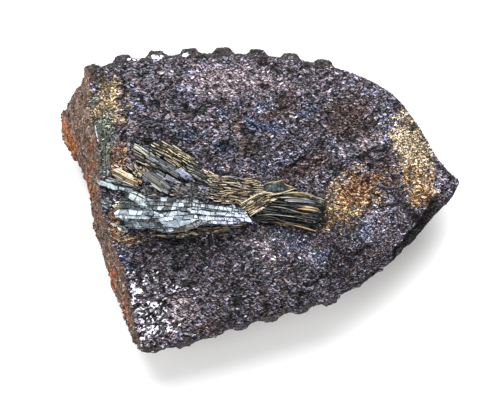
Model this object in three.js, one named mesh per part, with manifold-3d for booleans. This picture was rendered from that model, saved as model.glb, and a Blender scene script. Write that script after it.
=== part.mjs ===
// A vivianite specimen: sheaves of bladed vivianite crystals on the filled-in
// hollow of a broken fossil cockle shell. The shell lies on its rounded, ribbed
// back with the crystals up. +X points to the beak of the shell, the broken edge
// is at -X, and the origin is at the centre of the base. Millimetres, +Z up.

import * as THREE from "three";
import { mergeVertices } from "three/addons/utils/BufferGeometryUtils.js";
import Module from "manifold-3d";

const wasm = await Module();
wasm.setup();

// ---------------------------------------------------------------- dimensions

const rimHeight = 12.2; // table to the rim of the shell
const domeDepth = 10.4; // how far the rounded back drops below the foot of the rim
const domeCentre = [1.5, 0.8]; // under the middle of the rounded back
const umbo = [19.5, 2.2]; // where the ribs of the back start, near the beak
const flatShare = 0.34; // share of the way out to the rim that is nearly flat
const domePower = 2.4; // how late the back turns up into the rim
const wornDepth = 0.22; // thickness worn off the lowest part of the back
const contactGap = 0.3; // between a crystal and what it stands on

// The rim seen from above, counterclockwise from the beak, without its ribs.
const rimPoints = [
  [30.2, 2.7], // beak
  [27.6, 4.9],
  [24.1, 10.8],
  [20.6, 15.3],
  [15.1, 18.5],
  [7.0, 20.75],
  [-3.3, 21.9],
  [-13.6, 21.6],
  [-24.5, 19.7], // upper corner of the broken edge
  [-33.0, 13.0], // the next four are where the shell used to be
  [-37.0, 2.0],
  [-34.0, -12.0],
  [-24.5, -22.3],
  [-17.9, -22.8], // lower corner of the broken edge
  [-10.4, -21.6],
  [-4.6, -19.5],
  [4.5, -17.0],
  [12.3, -14.6],
  [18.9, -10.7],
  [25.6, -4.1],
  [29.0, 0.4],
];

// Runs of shell ribs: the first rib's place on the rim, the spacing along the
// rim, how many there are, and how far each stands out.
const ribRuns = [
  { first: [9.7, 20.3], pitch: 5.05, count: 7, rise: 0.85 },
  { first: [-25.4, 19.4], pitch: 5.3, count: 9, rise: 0.8 },
  { first: [-16.0, -22.5], pitch: 4.9, count: 3, rise: 0.35 },
  { first: [-2.7, -18.8], pitch: 4.65, count: 4, rise: 0.6 },
];
const ribTopShare = 0.19; // half of a rib's flat top, as a share of the pitch
const ribFootShare = 0.3; // half of a rib's foot

// The broken edge from corner to corner: y, then x where the break meets the
// upper face, then x where it meets the back of the shell.
const breakLine = [
  [26.0, -24.6, -24.8],
  [20.3, -26.3, -26.5],
  [18.4, -25.2, -27.8],
  [14.9, -24.9, -29.7],
  [12.6, -24.6, -30.9],
  [9.6, -24.3, -30.0],
  [5.6, -23.9, -27.9],
  [2.5, -23.7, -26.1],
  [-2.0, -23.1, -25.3],
  [-5.6, -21.8, -24.7],
  [-11.9, -20.0, -22.8],
  [-18.6, -18.8, -20.1],
  [-21.6, -18.0, -18.4],
  [-26.0, -17.2, -17.4],
];
const breakLowZ = 5.2; // height at which the break meets the back
const breakUndercut = 0.35; // how far the break turns back under, per mm of height
const breakRoughness = 0.45;

// Broad swells and hollows of the upper face: centre, half lengths along and
// across, turn in degrees, and rise.
const swells = [
  { at: [-4.5, 12.6], reach: [21, 7.5], turn: 0, rise: 1.5 }, // upper field
  { at: [13.5, 12.5], reach: [6.5, 5.5], turn: -35, rise: 0.7 },
  { at: [0.5, -10.0], reach: [11, 5.6], turn: 14, rise: 1.6 }, // lower bulge
  { at: [-9.0, 0.6], reach: [14, 4.2], turn: -4, rise: 0.7 }, // bed of the sheaves
  { at: [-7.5, -6.3], reach: [11, 1.5], turn: 4, rise: -0.9 }, // gully below them
  { at: [14.0, 11.4], reach: [3.6, 2.6], turn: 10, rise: -0.7 }, // brown hollow
  { at: [13.2, -10.4], reach: [1.8, 4.6], turn: -38, rise: -1.0 }, // gully by the bulge
  { at: [17.0, -0.8], reach: [8, 2.2], turn: 28, rise: -0.6 },
  { at: [-17.5, -19.0], reach: [7, 6], turn: 0, rise: -0.8 }, // low corner
  { at: [-15.5, -12.5], reach: [5, 4], turn: 0, rise: 0.5 },
  { at: [-22.5, 12.0], reach: [2.6, 8], turn: 4, rise: -0.6 },
];

// Steps in the upper face: it is lower by drop on the right-hand side of the line
// from -> to, within reach of that line.
const ledges = [
  { from: [19.9, 6.8], to: [18.6, 16.5], drop: 0.8, soft: 0.5, reach: 7 },
  { from: [9.5, 3.2], to: [20.2, 7.4], drop: 0.7, soft: 0.6, reach: 4 },
  { from: [-20.9, 19.5], to: [-21.3, 4.5], drop: 0.6, soft: 0.5, reach: 3 },
];

// The thin outer lip along the lower right: the upper face drops behind it.
const lip = { from: -0.96, to: -0.05, width: 1.75, drop: 1.7 }; // angles in radians
const rimRoll = { width: 1.6, drop: 0.75 }; // how the upper face rolls down to the rim
const lump = { size: 2.6, rise: 0.42 }; // coarse lumps of the crust
const fineLump = { size: 1.15, rise: 0.2 };
const gridStep = 1.55; // mesh step of the upper face

// ------------------------------------------------------------------- helpers

const lerp = THREE.MathUtils.lerp;
const smoothstep = THREE.MathUtils.smoothstep;

// Repeatable random number from 0 to 1 for a whole-numbered place.
function hash(i, j = 0) {
  const s = Math.sin(i * 127.1 + j * 311.7) * 43758.5453;
  return s - Math.floor(s);
}

// Smooth noise from -1 to 1, one lump per unit.
function noise(x, y) {
  const i = Math.floor(x);
  const j = Math.floor(y);
  const u = smoothstep(x - i, 0, 1);
  const v = smoothstep(y - j, 0, 1);
  const low = lerp(hash(i, j), hash(i + 1, j), u);
  const high = lerp(hash(i, j + 1), hash(i + 1, j + 1), u);
  return lerp(low, high, v) * 2 - 1;
}

// A closed manifold-3d solid from a three.js geometry.
function solidOf(geometry) {
  const bare = geometry.clone();
  bare.deleteAttribute("normal");
  bare.deleteAttribute("uv");
  const merged = mergeVertices(bare, 1e-4);
  const solid = new wasm.Manifold(
    new wasm.Mesh({
      numProp: 3,
      vertProperties: new Float32Array(merged.attributes.position.array),
      triVerts: new Uint32Array(merged.index.array),
    }),
  );
  return solid;
}

// A closed solid from vertex and face lists, turned to face out.
function solidFromLists(points, faces) {
  const make = (list) =>
    new wasm.Manifold(
      new wasm.Mesh({
        numProp: 3,
        vertProperties: new Float32Array(points.flat()),
        triVerts: new Uint32Array(list.flat()),
      }),
    );
  const made = make(faces);
  return made.volume() > 0 ? made : make(faces.map(([a, b, c]) => [a, c, b]));
}

function meshOf(name, solid, color, roughness, metalness = 0) {
  const out = solid.getMesh();
  const geometry = new THREE.BufferGeometry();
  const positions = new Float32Array(out.numVert * 3);
  for (let i = 0; i < out.numVert; i++) {
    const first = i * out.numProp;
    positions.set(out.vertProperties.subarray(first, first + 3), i * 3);
  }
  geometry.setAttribute("position", new THREE.BufferAttribute(positions, 3));
  geometry.setIndex(new THREE.BufferAttribute(out.triVerts, 1));
  geometry.computeVertexNormals();
  const material = new THREE.MeshStandardMaterial({
    color,
    roughness,
    metalness,
    flatShading: true,
  });
  const mesh = new THREE.Mesh(geometry, material);
  mesh.name = name;
  return mesh;
}

// The solid between two sheets of nu by nv points.
function blockBetween(near, far, nu, nv) {
  const points = [];
  for (const sheet of [near, far])
    for (let j = 0; j < nv; j++)
      for (let i = 0; i < nu; i++)
        points.push(sheet(i / (nu - 1), j / (nv - 1)));
  const at = (side, i, j) => side * nu * nv + j * nu + i;
  const faces = [];
  const quad = (a, b, c, d) => faces.push([a, b, c], [a, c, d]);
  for (let j = 0; j < nv - 1; j++)
    for (let i = 0; i < nu - 1; i++) {
      quad(at(0, i, j), at(0, i + 1, j), at(0, i + 1, j + 1), at(0, i, j + 1));
      quad(at(1, i, j), at(1, i, j + 1), at(1, i + 1, j + 1), at(1, i + 1, j));
    }
  for (let i = 0; i < nu - 1; i++) {
    quad(at(0, i, 0), at(1, i, 0), at(1, i + 1, 0), at(0, i + 1, 0));
    const j = nv - 1;
    quad(at(0, i, j), at(0, i + 1, j), at(1, i + 1, j), at(1, i, j));
  }
  for (let j = 0; j < nv - 1; j++) {
    quad(at(0, 0, j), at(0, 0, j + 1), at(1, 0, j + 1), at(1, 0, j));
    const i = nu - 1;
    quad(at(0, i, j), at(1, i, j), at(1, i, j + 1), at(0, i, j + 1));
  }
  return solidFromLists(points, faces);
}

// --------------------------------------------------------- the rim, its ribs

const rim = new THREE.CatmullRomCurve3(
  rimPoints.map(([x, y]) => new THREE.Vector3(x, y, 0)),
  true,
  "centripetal",
);
rim.arcLengthDivisions = 4000;
const rimLength = rim.getLength();
const rimAt = (s) => rim.getPointAt((((s / rimLength) % 1) + 1) % 1);

// Arc length of the place on the rim nearest to a point.
function rimPlaceNear([x, y]) {
  let best = 0;
  let least = Infinity;
  for (let s = 0; s < rimLength; s += 0.1) {
    const p = rimAt(s);
    const gap = Math.hypot(p.x - x, p.y - y);
    if (gap < least) {
      least = gap;
      best = s;
    }
  }
  return best;
}

const ribs = [];
for (const { first, pitch, count, rise } of ribRuns) {
  const start = rimPlaceNear(first);
  for (let k = 0; k < count; k++)
    ribs.push({ centre: start + k * pitch, pitch, rise });
}

function ribRise(s) {
  let rise = 0;
  for (const rib of ribs) {
    const off = Math.abs(s - rib.centre) / rib.pitch;
    const share = 1 - smoothstep(off, ribTopShare, ribFootShare);
    rise = Math.max(rise, rib.rise * share);
  }
  return rise;
}

// Places along the rim where the back's mesh has a line: both sides of every
// rib, and the long plain stretches in steps.
function rimStations() {
  const plainStep = 2.4;
  const marks = [0]; // the beak
  for (const { centre, pitch } of ribs)
    for (const share of [-ribFootShare, -ribTopShare, ribTopShare, ribFootShare])
      marks.push((centre + share * pitch + rimLength) % rimLength);
  marks.sort((a, b) => a - b);
  const stations = [];
  marks.forEach((mark, k) => {
    const next = k + 1 < marks.length ? marks[k + 1] : marks[0] + rimLength;
    const parts = Math.max(1, Math.round((next - mark) / plainStep));
    for (let i = 0; i < parts; i++)
      stations.push((mark + ((next - mark) * i) / parts) % rimLength);
  });
  return stations;
}

// ---------------------------------------------------------- the rounded back

// How far out a point of the back is: 0 at the dome's centre, 1 at the rim.
const rimBearings = rim.getSpacedPoints(720).map((p) => {
  const out = new THREE.Vector2(p.x - domeCentre[0], p.y - domeCentre[1]);
  return { angle: out.angle(), run: out.length() };
});
function domeShare(x, y) {
  const out = new THREE.Vector2(x - domeCentre[0], y - domeCentre[1]);
  const angle = out.angle();
  const near = rimBearings.reduce((a, b) =>
    Math.abs(b.angle - angle) < Math.abs(a.angle - angle) ? b : a,
  );
  return out.length() / near.run;
}

function shellBlank() {
  const stations = rimStations();
  const shares = [0.16, 0.32, 0.46, 0.6, 0.72, 0.82, 0.9, 0.96, 1];
  const wallFoot = rimHeight - 1.7;
  const aboveAll = rimHeight + 9;
  const n = stations.length;
  const last = shares.length - 1;
  const backAt = (x, y) => {
    const bend = Math.max(0, domeShare(x, y) - flatShare) / (1 - flatShare);
    return domeDepth * Math.min(bend, 1) ** domePower - wornDepth;
  };
  const points = [[umbo[0], umbo[1], backAt(...umbo)]];
  shares.forEach((share, ring) => {
    for (const s of stations) {
      const edge = rimAt(s);
      const along = rim.getTangentAt(s / rimLength);
      const rib = ribRise(s) * smoothstep(share, 0.1, 0.75);
      const turnUp = share ** 6; // ribs point down below, outwards at the rim
      const x = lerp(umbo[0], edge.x, share) + along.y * rib * turnUp;
      const y = lerp(umbo[1], edge.y, share) - along.x * rib * turnUp;
      const z = backAt(x, y) - rib * (1 - turnUp) * 0.75;
      points.push([x, y, ring === last ? wallFoot : z]);
    }
  });
  for (const [x, y] of points.slice(1 + last * n)) points.push([x, y, aboveAll]);
  const top = points.length;
  points.push([umbo[0], umbo[1], aboveAll]);
  const faces = [];
  const at = (ring, k) => 1 + ring * n + (k % n);
  for (let k = 0; k < n; k++) {
    faces.push([0, at(0, k + 1), at(0, k)]);
    for (let ring = 0; ring <= last; ring++) {
      faces.push([at(ring, k), at(ring, k + 1), at(ring + 1, k + 1)]);
      faces.push([at(ring, k), at(ring + 1, k + 1), at(ring + 1, k)]);
    }
    faces.push([top, at(last + 1, k), at(last + 1, k + 1)]);
  }
  return solidFromLists(points, faces);
}

// ------------------------------------------------------------ the upper face

const rimSamples = rim.getSpacedPoints(400);
function distanceToRim(x, y) {
  let least = Infinity;
  for (const p of rimSamples)
    least = Math.min(least, Math.hypot(p.x - x, p.y - y));
  return least;
}

// Height of the upper face above the table.
function upperFace(x, y) {
  let z = rimHeight;
  for (const { at, reach, turn, rise } of swells) {
    const a = THREE.MathUtils.degToRad(turn);
    const dx = x - at[0];
    const dy = y - at[1];
    const u = (dx * Math.cos(a) + dy * Math.sin(a)) / reach[0];
    const v = (dy * Math.cos(a) - dx * Math.sin(a)) / reach[1];
    z += rise * Math.exp(-(u * u + v * v));
  }
  for (const { from, to, drop, soft, reach } of ledges) {
    const along = new THREE.Vector2(to[0] - from[0], to[1] - from[1]);
    const length = along.length();
    along.normalize();
    const dx = x - from[0];
    const dy = y - from[1];
    const down = (dx * along.x + dy * along.y) / length;
    const side = dx * along.y - dy * along.x; // over 0 to the right of the line
    const inside =
      smoothstep(down, -0.15, 0.15) * (1 - smoothstep(down, 0.85, 1.15));
    const fade = 1 - smoothstep(Math.abs(side), reach * 0.4, reach);
    z -= drop * (smoothstep(side, -soft, soft) - 0.5) * inside * fade;
  }
  const gap = distanceToRim(x, y);
  z -= rimRoll.drop * (1 - smoothstep(gap, 0, rimRoll.width)) ** 2;
  const bearing = Math.atan2(y - domeCentre[1], x - domeCentre[0]);
  const inLip =
    smoothstep(bearing, lip.from - 0.08, lip.from) *
    (1 - smoothstep(bearing, lip.to - 0.06, lip.to + 0.04));
  z -= lip.drop * inLip * (1 - smoothstep(gap, lip.width * 0.7, lip.width * 1.2));
  z += lump.rise * noise(x / lump.size + 3.7, y / lump.size + 9.1);
  z += fineLump.rise * noise(x / fineLump.size + 31, y / fineLump.size + 17);
  return z;
}

// The block between the upper face, lifted, and a level farZ. Its corners are
// counted in grid steps, so that every such block has the same facets.
function upperFaceBlock(lift, farZ, [i0, i1], [j0, j1]) {
  const place = (u, v) => [lerp(i0, i1, u) * gridStep, lerp(j0, j1, v) * gridStep];
  const face = (u, v) => {
    const [x, y] = place(u, v);
    return [x, y, upperFace(x, y) + lift];
  };
  const level = (u, v) => [...place(u, v), farZ];
  return blockBetween(face, level, i1 - i0 + 1, j1 - j0 + 1);
}

// ----------------------------------------------------------- the broken edge

// x of the break at a height, by the line above, upright between its rows.
function breakAt(y, z) {
  let k = 0;
  while (k < breakLine.length - 2 && breakLine[k + 1][0] > y) k++;
  const [ya, topA, lowA] = breakLine[k];
  const [yb, topB, lowB] = breakLine[k + 1];
  const v = THREE.MathUtils.clamp((ya - y) / (ya - yb), 0, 1);
  const top = lerp(topA, topB, v);
  const low = lerp(lowA, lowB, v);
  const share = (z - breakLowZ) / (rimHeight - breakLowZ);
  const bulge = 0.5 * Math.sin(Math.PI * THREE.MathUtils.clamp(share, 0, 1));
  if (share < 0) return low - (z - breakLowZ) * breakUndercut;
  return lerp(low, top, Math.min(share, 1)) - bulge * ((top - low) / 5);
}

function breakBlock() {
  const nu = 34;
  const nv = 12;
  const place = (u, v) => [lerp(26, -26, u), lerp(-3, 22, v)];
  const near = (u, v) => {
    const [y, z] = place(u, v);
    const rough = breakRoughness * noise(y / 1.9 + 5, z / 1.5 + 2);
    return [breakAt(y, z) + rough * smoothstep(z, 3, 7), y, z];
  };
  const far = (u, v) => [-60, ...place(u, v)];
  return blockBetween(near, far, nu, nv);
}

function makeMatrix() {
  const floorCut = solidOf(
    new THREE.BoxGeometry(200, 200, 20).translate(0, 0, -10),
  );
  return shellBlank()
    .subtract(upperFaceBlock(0, 40, [-26, 22], [-17, 17]))
    .subtract(breakBlock())
    .subtract(floorCut);
}

// --------------------------------------------------------------- the crystals

// One lath-shaped crystal with a flat top and pointed ends. Its top runs from
// lift[0] above the upper face at `from` to lift[1] at `to`, and rolls about its
// length by roll degrees.
function lath({ from, to, width, lift, depth = 3, roll = 0, point = 0.7 }) {
  const a = new THREE.Vector3(...from, upperFace(...from) + lift[0]);
  const b = new THREE.Vector3(...to, upperFace(...to) + lift[1]);
  const along = b.clone().sub(a);
  const length = along.length();
  const tip = Math.min(width * point, length * 0.4);
  const half = width / 2;
  const plan = new THREE.Shape([
    new THREE.Vector2(0, 0),
    new THREE.Vector2(tip, -half),
    new THREE.Vector2(length - tip, -half),
    new THREE.Vector2(length, 0),
    new THREE.Vector2(length - tip, half),
    new THREE.Vector2(tip, half),
  ]);
  const geometry = new THREE.ExtrudeGeometry(plan, {
    depth,
    bevelEnabled: false,
  }).translate(0, 0, -depth);
  const x = along.normalize();
  const y = new THREE.Vector3(0, 0, 1).cross(x).normalize();
  const z = x.clone().cross(y);
  geometry.rotateX(THREE.MathUtils.degToRad(roll));
  geometry.applyMatrix4(new THREE.Matrix4().makeBasis(x, y, z).setPosition(a));
  return solidOf(geometry);
}

const between = (a, b, share) => [
  lerp(a[0], b[0], share),
  lerp(a[1], b[1], share),
];

// A sheaf of laths side by side, from the line heads to the line tails. crest is
// the extra height at the middle of the sheaf.
function sheaf({ heads, tails, count, width, lift, crest = 0, seed, ...rest }) {
  const laths = [];
  for (let i = 0; i < count; i++) {
    const share = count > 1 ? i / (count - 1) : 0.5;
    const hump = crest * Math.sin(Math.PI * (0.12 + 0.76 * share));
    const jitter = hash(seed, i) - 0.5;
    const from = between(heads[0], heads[1], share);
    const to = between(tails[0], tails[1], share);
    const shift = 0.08 * (hash(seed + 1, i) - 0.5);
    laths.push(
      lath({
        from: between(from, to, shift),
        to: between(to, from, 0.1 * hash(seed + 2, i)),
        width: width * (0.9 + 0.3 * hash(seed + 3, i)),
        lift: [lift[0] + hump + 0.35 * jitter, lift[1] + hump + 0.35 * jitter],
        roll: 16 * (hash(seed + 4, i) - 0.5),
        ...rest,
      }),
    );
  }
  return laths;
}

// Narrow cracks across a lath, deep below its top and open above, so that it
// looks broken into blocks.
function cracksAcross({ from, to, width, lift, cracks, seed }) {
  const deep = 0.6;
  const wide = 0.24;
  const a = new THREE.Vector2(...from);
  const along = new THREE.Vector2(...to).sub(a);
  const cuts = [];
  for (let k = 0; k < cracks; k++) {
    const share = (k + 0.75 + 0.5 * hash(seed, k)) / (cracks + 1);
    const [x, y] = between(from, to, share);
    const z = upperFace(x, y) + lerp(lift[0], lift[1], share) - deep;
    const skew = 0.5 * (hash(seed + 1, k) - 0.5);
    cuts.push(
      solidOf(
        new THREE.BoxGeometry(wide, width * 0.9, 8)
          .translate(0, 0, 4)
          .rotateZ(along.angle() + skew)
          .translate(x, y, z),
      ),
    );
  }
  return cuts;
}

const joined = (solids) => solids.reduce((a, b) => a.add(b));

// Every crystal ends contactGap above the face that it stands on.
const bed = upperFaceBlock(contactGap, 2, [-17, 9], [-6, 9]);
const seated = (solids) => joined(solids).subtract(bed);

// Straw-coloured fan at the upper left: long laths that lean to the right.
function makeStrawFan() {
  return seated([
    ...sheaf({
      heads: [[-16.6, 7.3], [-12.9, 8.3]],
      tails: [[-8.2, 2.6], [-8.3, 4.9]],
      count: 7, width: 0.85, lift: [1.3, 1.2], crest: 0.5, seed: 11,
    }),
    ...sheaf({
      heads: [[-18.7, 6.3], [-19.1, 7.3]],
      tails: [[-10.7, 2.5], [-9.6, 2.5]],
      count: 3, width: 0.8, lift: [0.8, 1.0], seed: 12,
    }),
    lath({ from: [-19.0, 8.1], to: [-8.4, 2.2], width: 1.0, lift: [1.3, 1.8], roll: 8 }),
  ]);
}

function makeGreyBlade() {
  return seated([
    lath({
      from: [-17.5, 4.0], to: [-13.6, 1.35], width: 1.6, lift: [1.2, 1.2],
      roll: -6, point: 0.25,
    }),
    lath({ from: [-15.5, 3.0], to: [-11.6, 1.2], width: 0.7, lift: [0.9, 1.1], roll: 9 }),
  ]);
}

function makeGoldenBlade() {
  return seated(
    sheaf({
      heads: [[-22.0, 3.9], [-21.6, 4.9]],
      tails: [[-18.0, 1.9], [-17.7, 2.8]],
      count: 3, width: 0.6, lift: [0.9, 1.3], seed: 21,
    }),
  );
}

// The pale crystal: broad cleaved laths, cracked across into blocks.
function makeSilverBand() {
  const strips = [
    { from: [-19.7, 0.0], to: [-2.4, -1.45], width: 1.3, lift: [1.5, 2.0], roll: 8, cracks: 7, seed: 31 },
    { from: [-21.7, -1.8], to: [-1.3, -2.5], width: 1.7, lift: [1.6, 2.5], roll: -3, cracks: 9, seed: 32 },
    { from: [-20.9, -3.2], to: [-1.5, -3.3], width: 1.3, lift: [1.3, 1.9], roll: -14, cracks: 7, seed: 33 },
    { from: [-19.3, 0.6], to: [-16.7, -0.7], width: 1.3, lift: [2.0, 2.1], roll: 0, cracks: 1, seed: 34 },
  ];
  const plain = [
    lath({ from: [-22.3, -3.4], to: [-18.9, -4.6], width: 0.9, lift: [0.8, 0.8], roll: -10 }),
    lath({ from: [-18.5, -4.3], to: [-9.5, -4.2], width: 1.2, lift: [0.9, 1.1], roll: -25 }),
    lath({ from: [-11.0, -4.2], to: [-3.4, -3.8], width: 0.9, lift: [0.9, 1.1], roll: -25 }),
    lath({ from: [-23.5, -0.5], to: [-20.2, -1.9], width: 0.8, lift: [0.7, 1.1] }),
  ];
  const body = seated([...strips.map(lath), ...plain]);
  return strips.flatMap(cracksAcross).reduce((a, b) => a.subtract(b), body);
}

function makePaleSliver() {
  return seated([
    lath({ from: [-23.8, 2.6], to: [-19.9, 1.4], width: 0.9, lift: [0.9, 1.1], roll: 8 }),
  ]);
}

// Fine straw-brown laths in the middle, and the golden ones that run up from
// between the silver band and the right sheaf.
function makeBrownSheaf() {
  return seated([
    ...sheaf({
      heads: [[-6.6, 0.9], [-6.1, 3.7]],
      tails: [[-1.0, 0.2], [0.8, 2.3]],
      count: 6, width: 0.85, lift: [0.9, 1.0], crest: 0.4, seed: 41,
    }),
    lath({ from: [-1.7, -1.2], to: [2.5, 1.2], width: 0.9, lift: [1.2, 1.0] }),
    lath({ from: [-2.3, -0.5], to: [5.0, 1.8], width: 0.8, lift: [1.2, 0.8] }),
    lath({ from: [0.6, 1.7], to: [4.8, 1.5], width: 1.1, lift: [0.9, 0.9] }),
  ]);
}

// Dark sheaf to the right, its laths spreading from one point.
function makeRightSheaf() {
  return seated([
    ...sheaf({
      heads: [[-0.1, -2.7], [3.1, 0.1]],
      tails: [[7.9, -4.2], [9.7, -0.1]],
      count: 7, width: 0.9, lift: [1.5, 1.7], crest: 0.7, seed: 51, point: 0.45,
    }),
    lath({ from: [3.0, -3.3], to: [8.5, -4.7], width: 0.6, lift: [0.9, 0.8] }),
  ]);
}

// Thin upright laths along the broken edge.
function makeEdgeBlades() {
  return seated(
    sheaf({
      heads: [[-23.4, 11.3], [-22.3, 11.6]],
      tails: [[-23.3, 4.2], [-22.4, 5.9]],
      count: 3, width: 0.62, lift: [0.6, 0.7], seed: 61,
    }),
  );
}

// ------------------------------------------------------------- the specimen

const specimen = new THREE.Group();
specimen.name = "vivianite_specimen";
specimen.add(
  meshOf("matrix", makeMatrix(), 0x55504f, 0.7),
  meshOf("straw_fan", makeStrawFan(), 0x9a8f74, 0.45),
  meshOf("grey_blade", makeGreyBlade(), 0x7f8385, 0.4),
  meshOf("golden_blade", makeGoldenBlade(), 0xc39a5a, 0.45),
  meshOf("silver_band", makeSilverBand(), 0xaebac4, 0.25),
  meshOf("pale_sliver", makePaleSliver(), 0xb9c9c6, 0.3),
  meshOf("brown_sheaf", makeBrownSheaf(), 0x8a7a58, 0.5),
  meshOf("right_sheaf", makeRightSheaf(), 0x2e332f, 0.3),
  meshOf("edge_blades", makeEdgeBlades(), 0x6f8076, 0.45),
);

// Centre the whole on the origin, standing on z = 0.
const extent = new THREE.Box3().setFromObject(specimen);
const middle = extent.getCenter(new THREE.Vector3());
specimen.position.set(-middle.x, -middle.y, -extent.min.z);

export default specimen;
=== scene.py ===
import math
import random
import bmesh
import bpy
from mathutils import Matrix, Vector, noise
from mathutils.bvhtree import BVHTree
from mathutils.kdtree import KDTree


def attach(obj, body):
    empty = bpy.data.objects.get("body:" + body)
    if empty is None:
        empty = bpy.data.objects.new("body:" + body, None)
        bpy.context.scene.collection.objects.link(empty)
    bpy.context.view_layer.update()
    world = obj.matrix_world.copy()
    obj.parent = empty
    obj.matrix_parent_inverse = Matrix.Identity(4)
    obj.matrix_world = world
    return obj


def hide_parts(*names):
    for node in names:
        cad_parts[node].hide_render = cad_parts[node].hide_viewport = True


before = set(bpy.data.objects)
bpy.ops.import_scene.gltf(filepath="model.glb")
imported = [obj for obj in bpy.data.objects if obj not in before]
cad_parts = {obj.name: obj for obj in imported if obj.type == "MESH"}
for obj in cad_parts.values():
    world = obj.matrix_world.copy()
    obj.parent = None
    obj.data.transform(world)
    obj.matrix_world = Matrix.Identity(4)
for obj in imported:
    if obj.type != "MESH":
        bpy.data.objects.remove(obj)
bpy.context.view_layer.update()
print("frame loaded")

# Pieces are shaped in millimetres and brought to metres at the end.
# Places on the upper face are read from the middle of the rim, and the frame's
# origin lies this far from it.
mm = 0.001
rimMiddle = Vector((-0.277, 0.139, 0.0))
noise.seed_set(5)  # without it the noise vectors change from run to run


def at(x, y, z=0.0):
    return Vector((x, y, z)) + rimMiddle


def smooth(low, high, value):
    t = min(max((value - low) / (high - low), 0.0), 1.0)
    return t * t * (3 - 2 * t)


def mix(a, b, share):
    return a + (b - a) * share


def turned(points, degrees):
    # points of the plan turned about the middle of the rim
    c, s = math.cos(math.radians(degrees)), math.sin(math.radians(degrees))
    return [(x * c - y * s, x * s + y * c) for x, y in points]


def sidesOf(outline):
    return zip(outline, outline[1:] + outline[:1])


def crossings(outline, y):
    # where a level line goes into an outline and out of it
    hits = sorted(xa + (y - ya) * (xb - xa) / (yb - ya)
                  for (xa, ya), (xb, yb) in sidesOf(outline) if (ya > y) != (yb > y))
    return list(zip(hits[::2], hits[1::2]))


def inside(outline, x, y):
    return any(a < x < b for a, b in crossings(outline, y))


def frayed(outline, step, amount, rng):
    # an outline with a point at each step, each a little out of line
    points = []
    for (xa, ya), (xb, yb) in sidesOf(outline):
        count = max(1, round(math.hypot(xb - xa, yb - ya) / step))
        for k in range(count):
            x, y = mix(xa, xb, k / count), mix(ya, yb, k / count)
            points.append((x + rng.uniform(-amount, amount), y + rng.uniform(-amount, amount)))
    return points


def linear(red, green, blue):
    return red, green, blue, 1.0


def srgb(red, green, blue):
    # a colour as it is seen, 0 to 255, for a linear socket
    values = [c / 255 for c in (red, green, blue)]
    return linear(*[c / 12.92 if c < 0.04045 else ((c + 0.055) / 1.055) ** 2.4 for c in values])


class Field:
    # an output of a node that can stand in a formula

    def __init__(self, node, output=0):
        self.node, self.tree, self.socket = node, node.id_data, node.outputs[output]

    def __getitem__(self, output):
        return Field(self.node, output)

    def __add__(self, other):
        return addMath("ADD", self, other)

    def __sub__(self, other):
        return addMath("SUBTRACT", self, other)

    def __mul__(self, other):
        return addMath("MULTIPLY", self, other)

    def __truediv__(self, other):
        return addMath("DIVIDE", self, other)

    def ranged(self, low, high, toLow=0.0, toHigh=1.0):
        return addNode(self.tree, "ShaderNodeMapRange",
                       {0: self, 1: low, 2: high, 3: toLow, 4: toHigh},
                       interpolation_type="SMOOTHSTEP")

    def noise(self, perMm, detail=3.0, roughness=0.55):
        return addNode(self.tree, "ShaderNodeTexNoise",
                       {"Vector": self, "Scale": perMm, "Detail": detail, "Roughness": roughness})

    def ramp(self, stops, shade=srgb):
        # stops are a position and the colour there
        made = addNode(self.tree, "ShaderNodeValToRGB", {0: self})
        elements = made.node.color_ramp.elements
        elements[1].position, elements[0].position = stops[-1][0], stops[0][0]
        for position, *_ in stops[1:-1]:
            elements.new(position)
        for element, (_, *colour) in zip(elements, stops):
            element.color = shade(*colour)
        return made


def wire(node, inputs):
    # a field is linked and any other value is set, a colour as it is seen
    for key, value in inputs.items():
        socket = node.inputs[key]
        if isinstance(value, Field):
            node.id_data.links.new(value.socket, socket)
        elif socket.type == "RGBA":
            socket.default_value = srgb(*value)
        else:
            socket.default_value = value


def addNode(tree, kind, inputs=None, **settings):
    node = tree.nodes.new(kind)
    for key, value in settings.items():
        setattr(node, key, value)
    wire(node, inputs or {})
    return Field(node)


def addMath(operation, a, b=0.0):
    # on numbers, or on vectors where the first is one
    kind = "ShaderNodeMath" if a.socket.type == "VALUE" else "ShaderNodeVectorMath"
    return addNode(a.tree, kind, {0: a, 1: b}, operation=operation)


def larger(a, b):
    return b if a is None else addMath("MAXIMUM", a, b)


def blend(share, a, b, how="MIX"):
    tree = next(value.tree for value in (share, a, b) if isinstance(value, Field))
    return addNode(tree, "ShaderNodeMix", {0: share, 6: a, 7: b}, data_type="RGBA",
                   blend_type=how)[2]


def dimmed(colour, gain):
    # a colour made lighter or darker by a number
    level = addNode(gain.tree, "ShaderNodeCombineColor", {0: gain, 1: gain, 2: gain})
    return blend(1.0, colour, level, "MULTIPLY")


def bump(height, strength, depth):
    return addNode(height.tree, "ShaderNodeBump",
                   {"Height": height, "Strength": strength, "Distance": depth * mm})


def attribute(tree, name, output="Fac"):
    return addNode(tree, "ShaderNodeAttribute", attribute_name=name)[output]


def startGroup(name, **inputs):
    # inputs with their usual values, a vector where that is none or three numbers
    group = bpy.data.node_groups.new(name, "ShaderNodeTree")
    for label, value in inputs.items():
        kind = "NodeSocketFloat" if isinstance(value, float) else "NodeSocketVector"
        socket = group.interface.new_socket(label, in_out="INPUT", socket_type=kind)
        if value is not None:
            socket.default_value = value
    return Field(group.nodes.new("NodeGroupInput"))


def finishGroup(given, **outputs):
    group = given.tree
    for label in outputs:
        kind = "NodeSocketColor" if label == "Color" else "NodeSocketFloat"
        group.interface.new_socket(label, in_out="OUTPUT", socket_type=kind)
    wire(group.nodes.new("NodeGroupOutput"), outputs)
    return group


def useGroup(tree, group, **inputs):
    return addNode(tree, "ShaderNodeGroup", inputs, node_tree=group)


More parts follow.
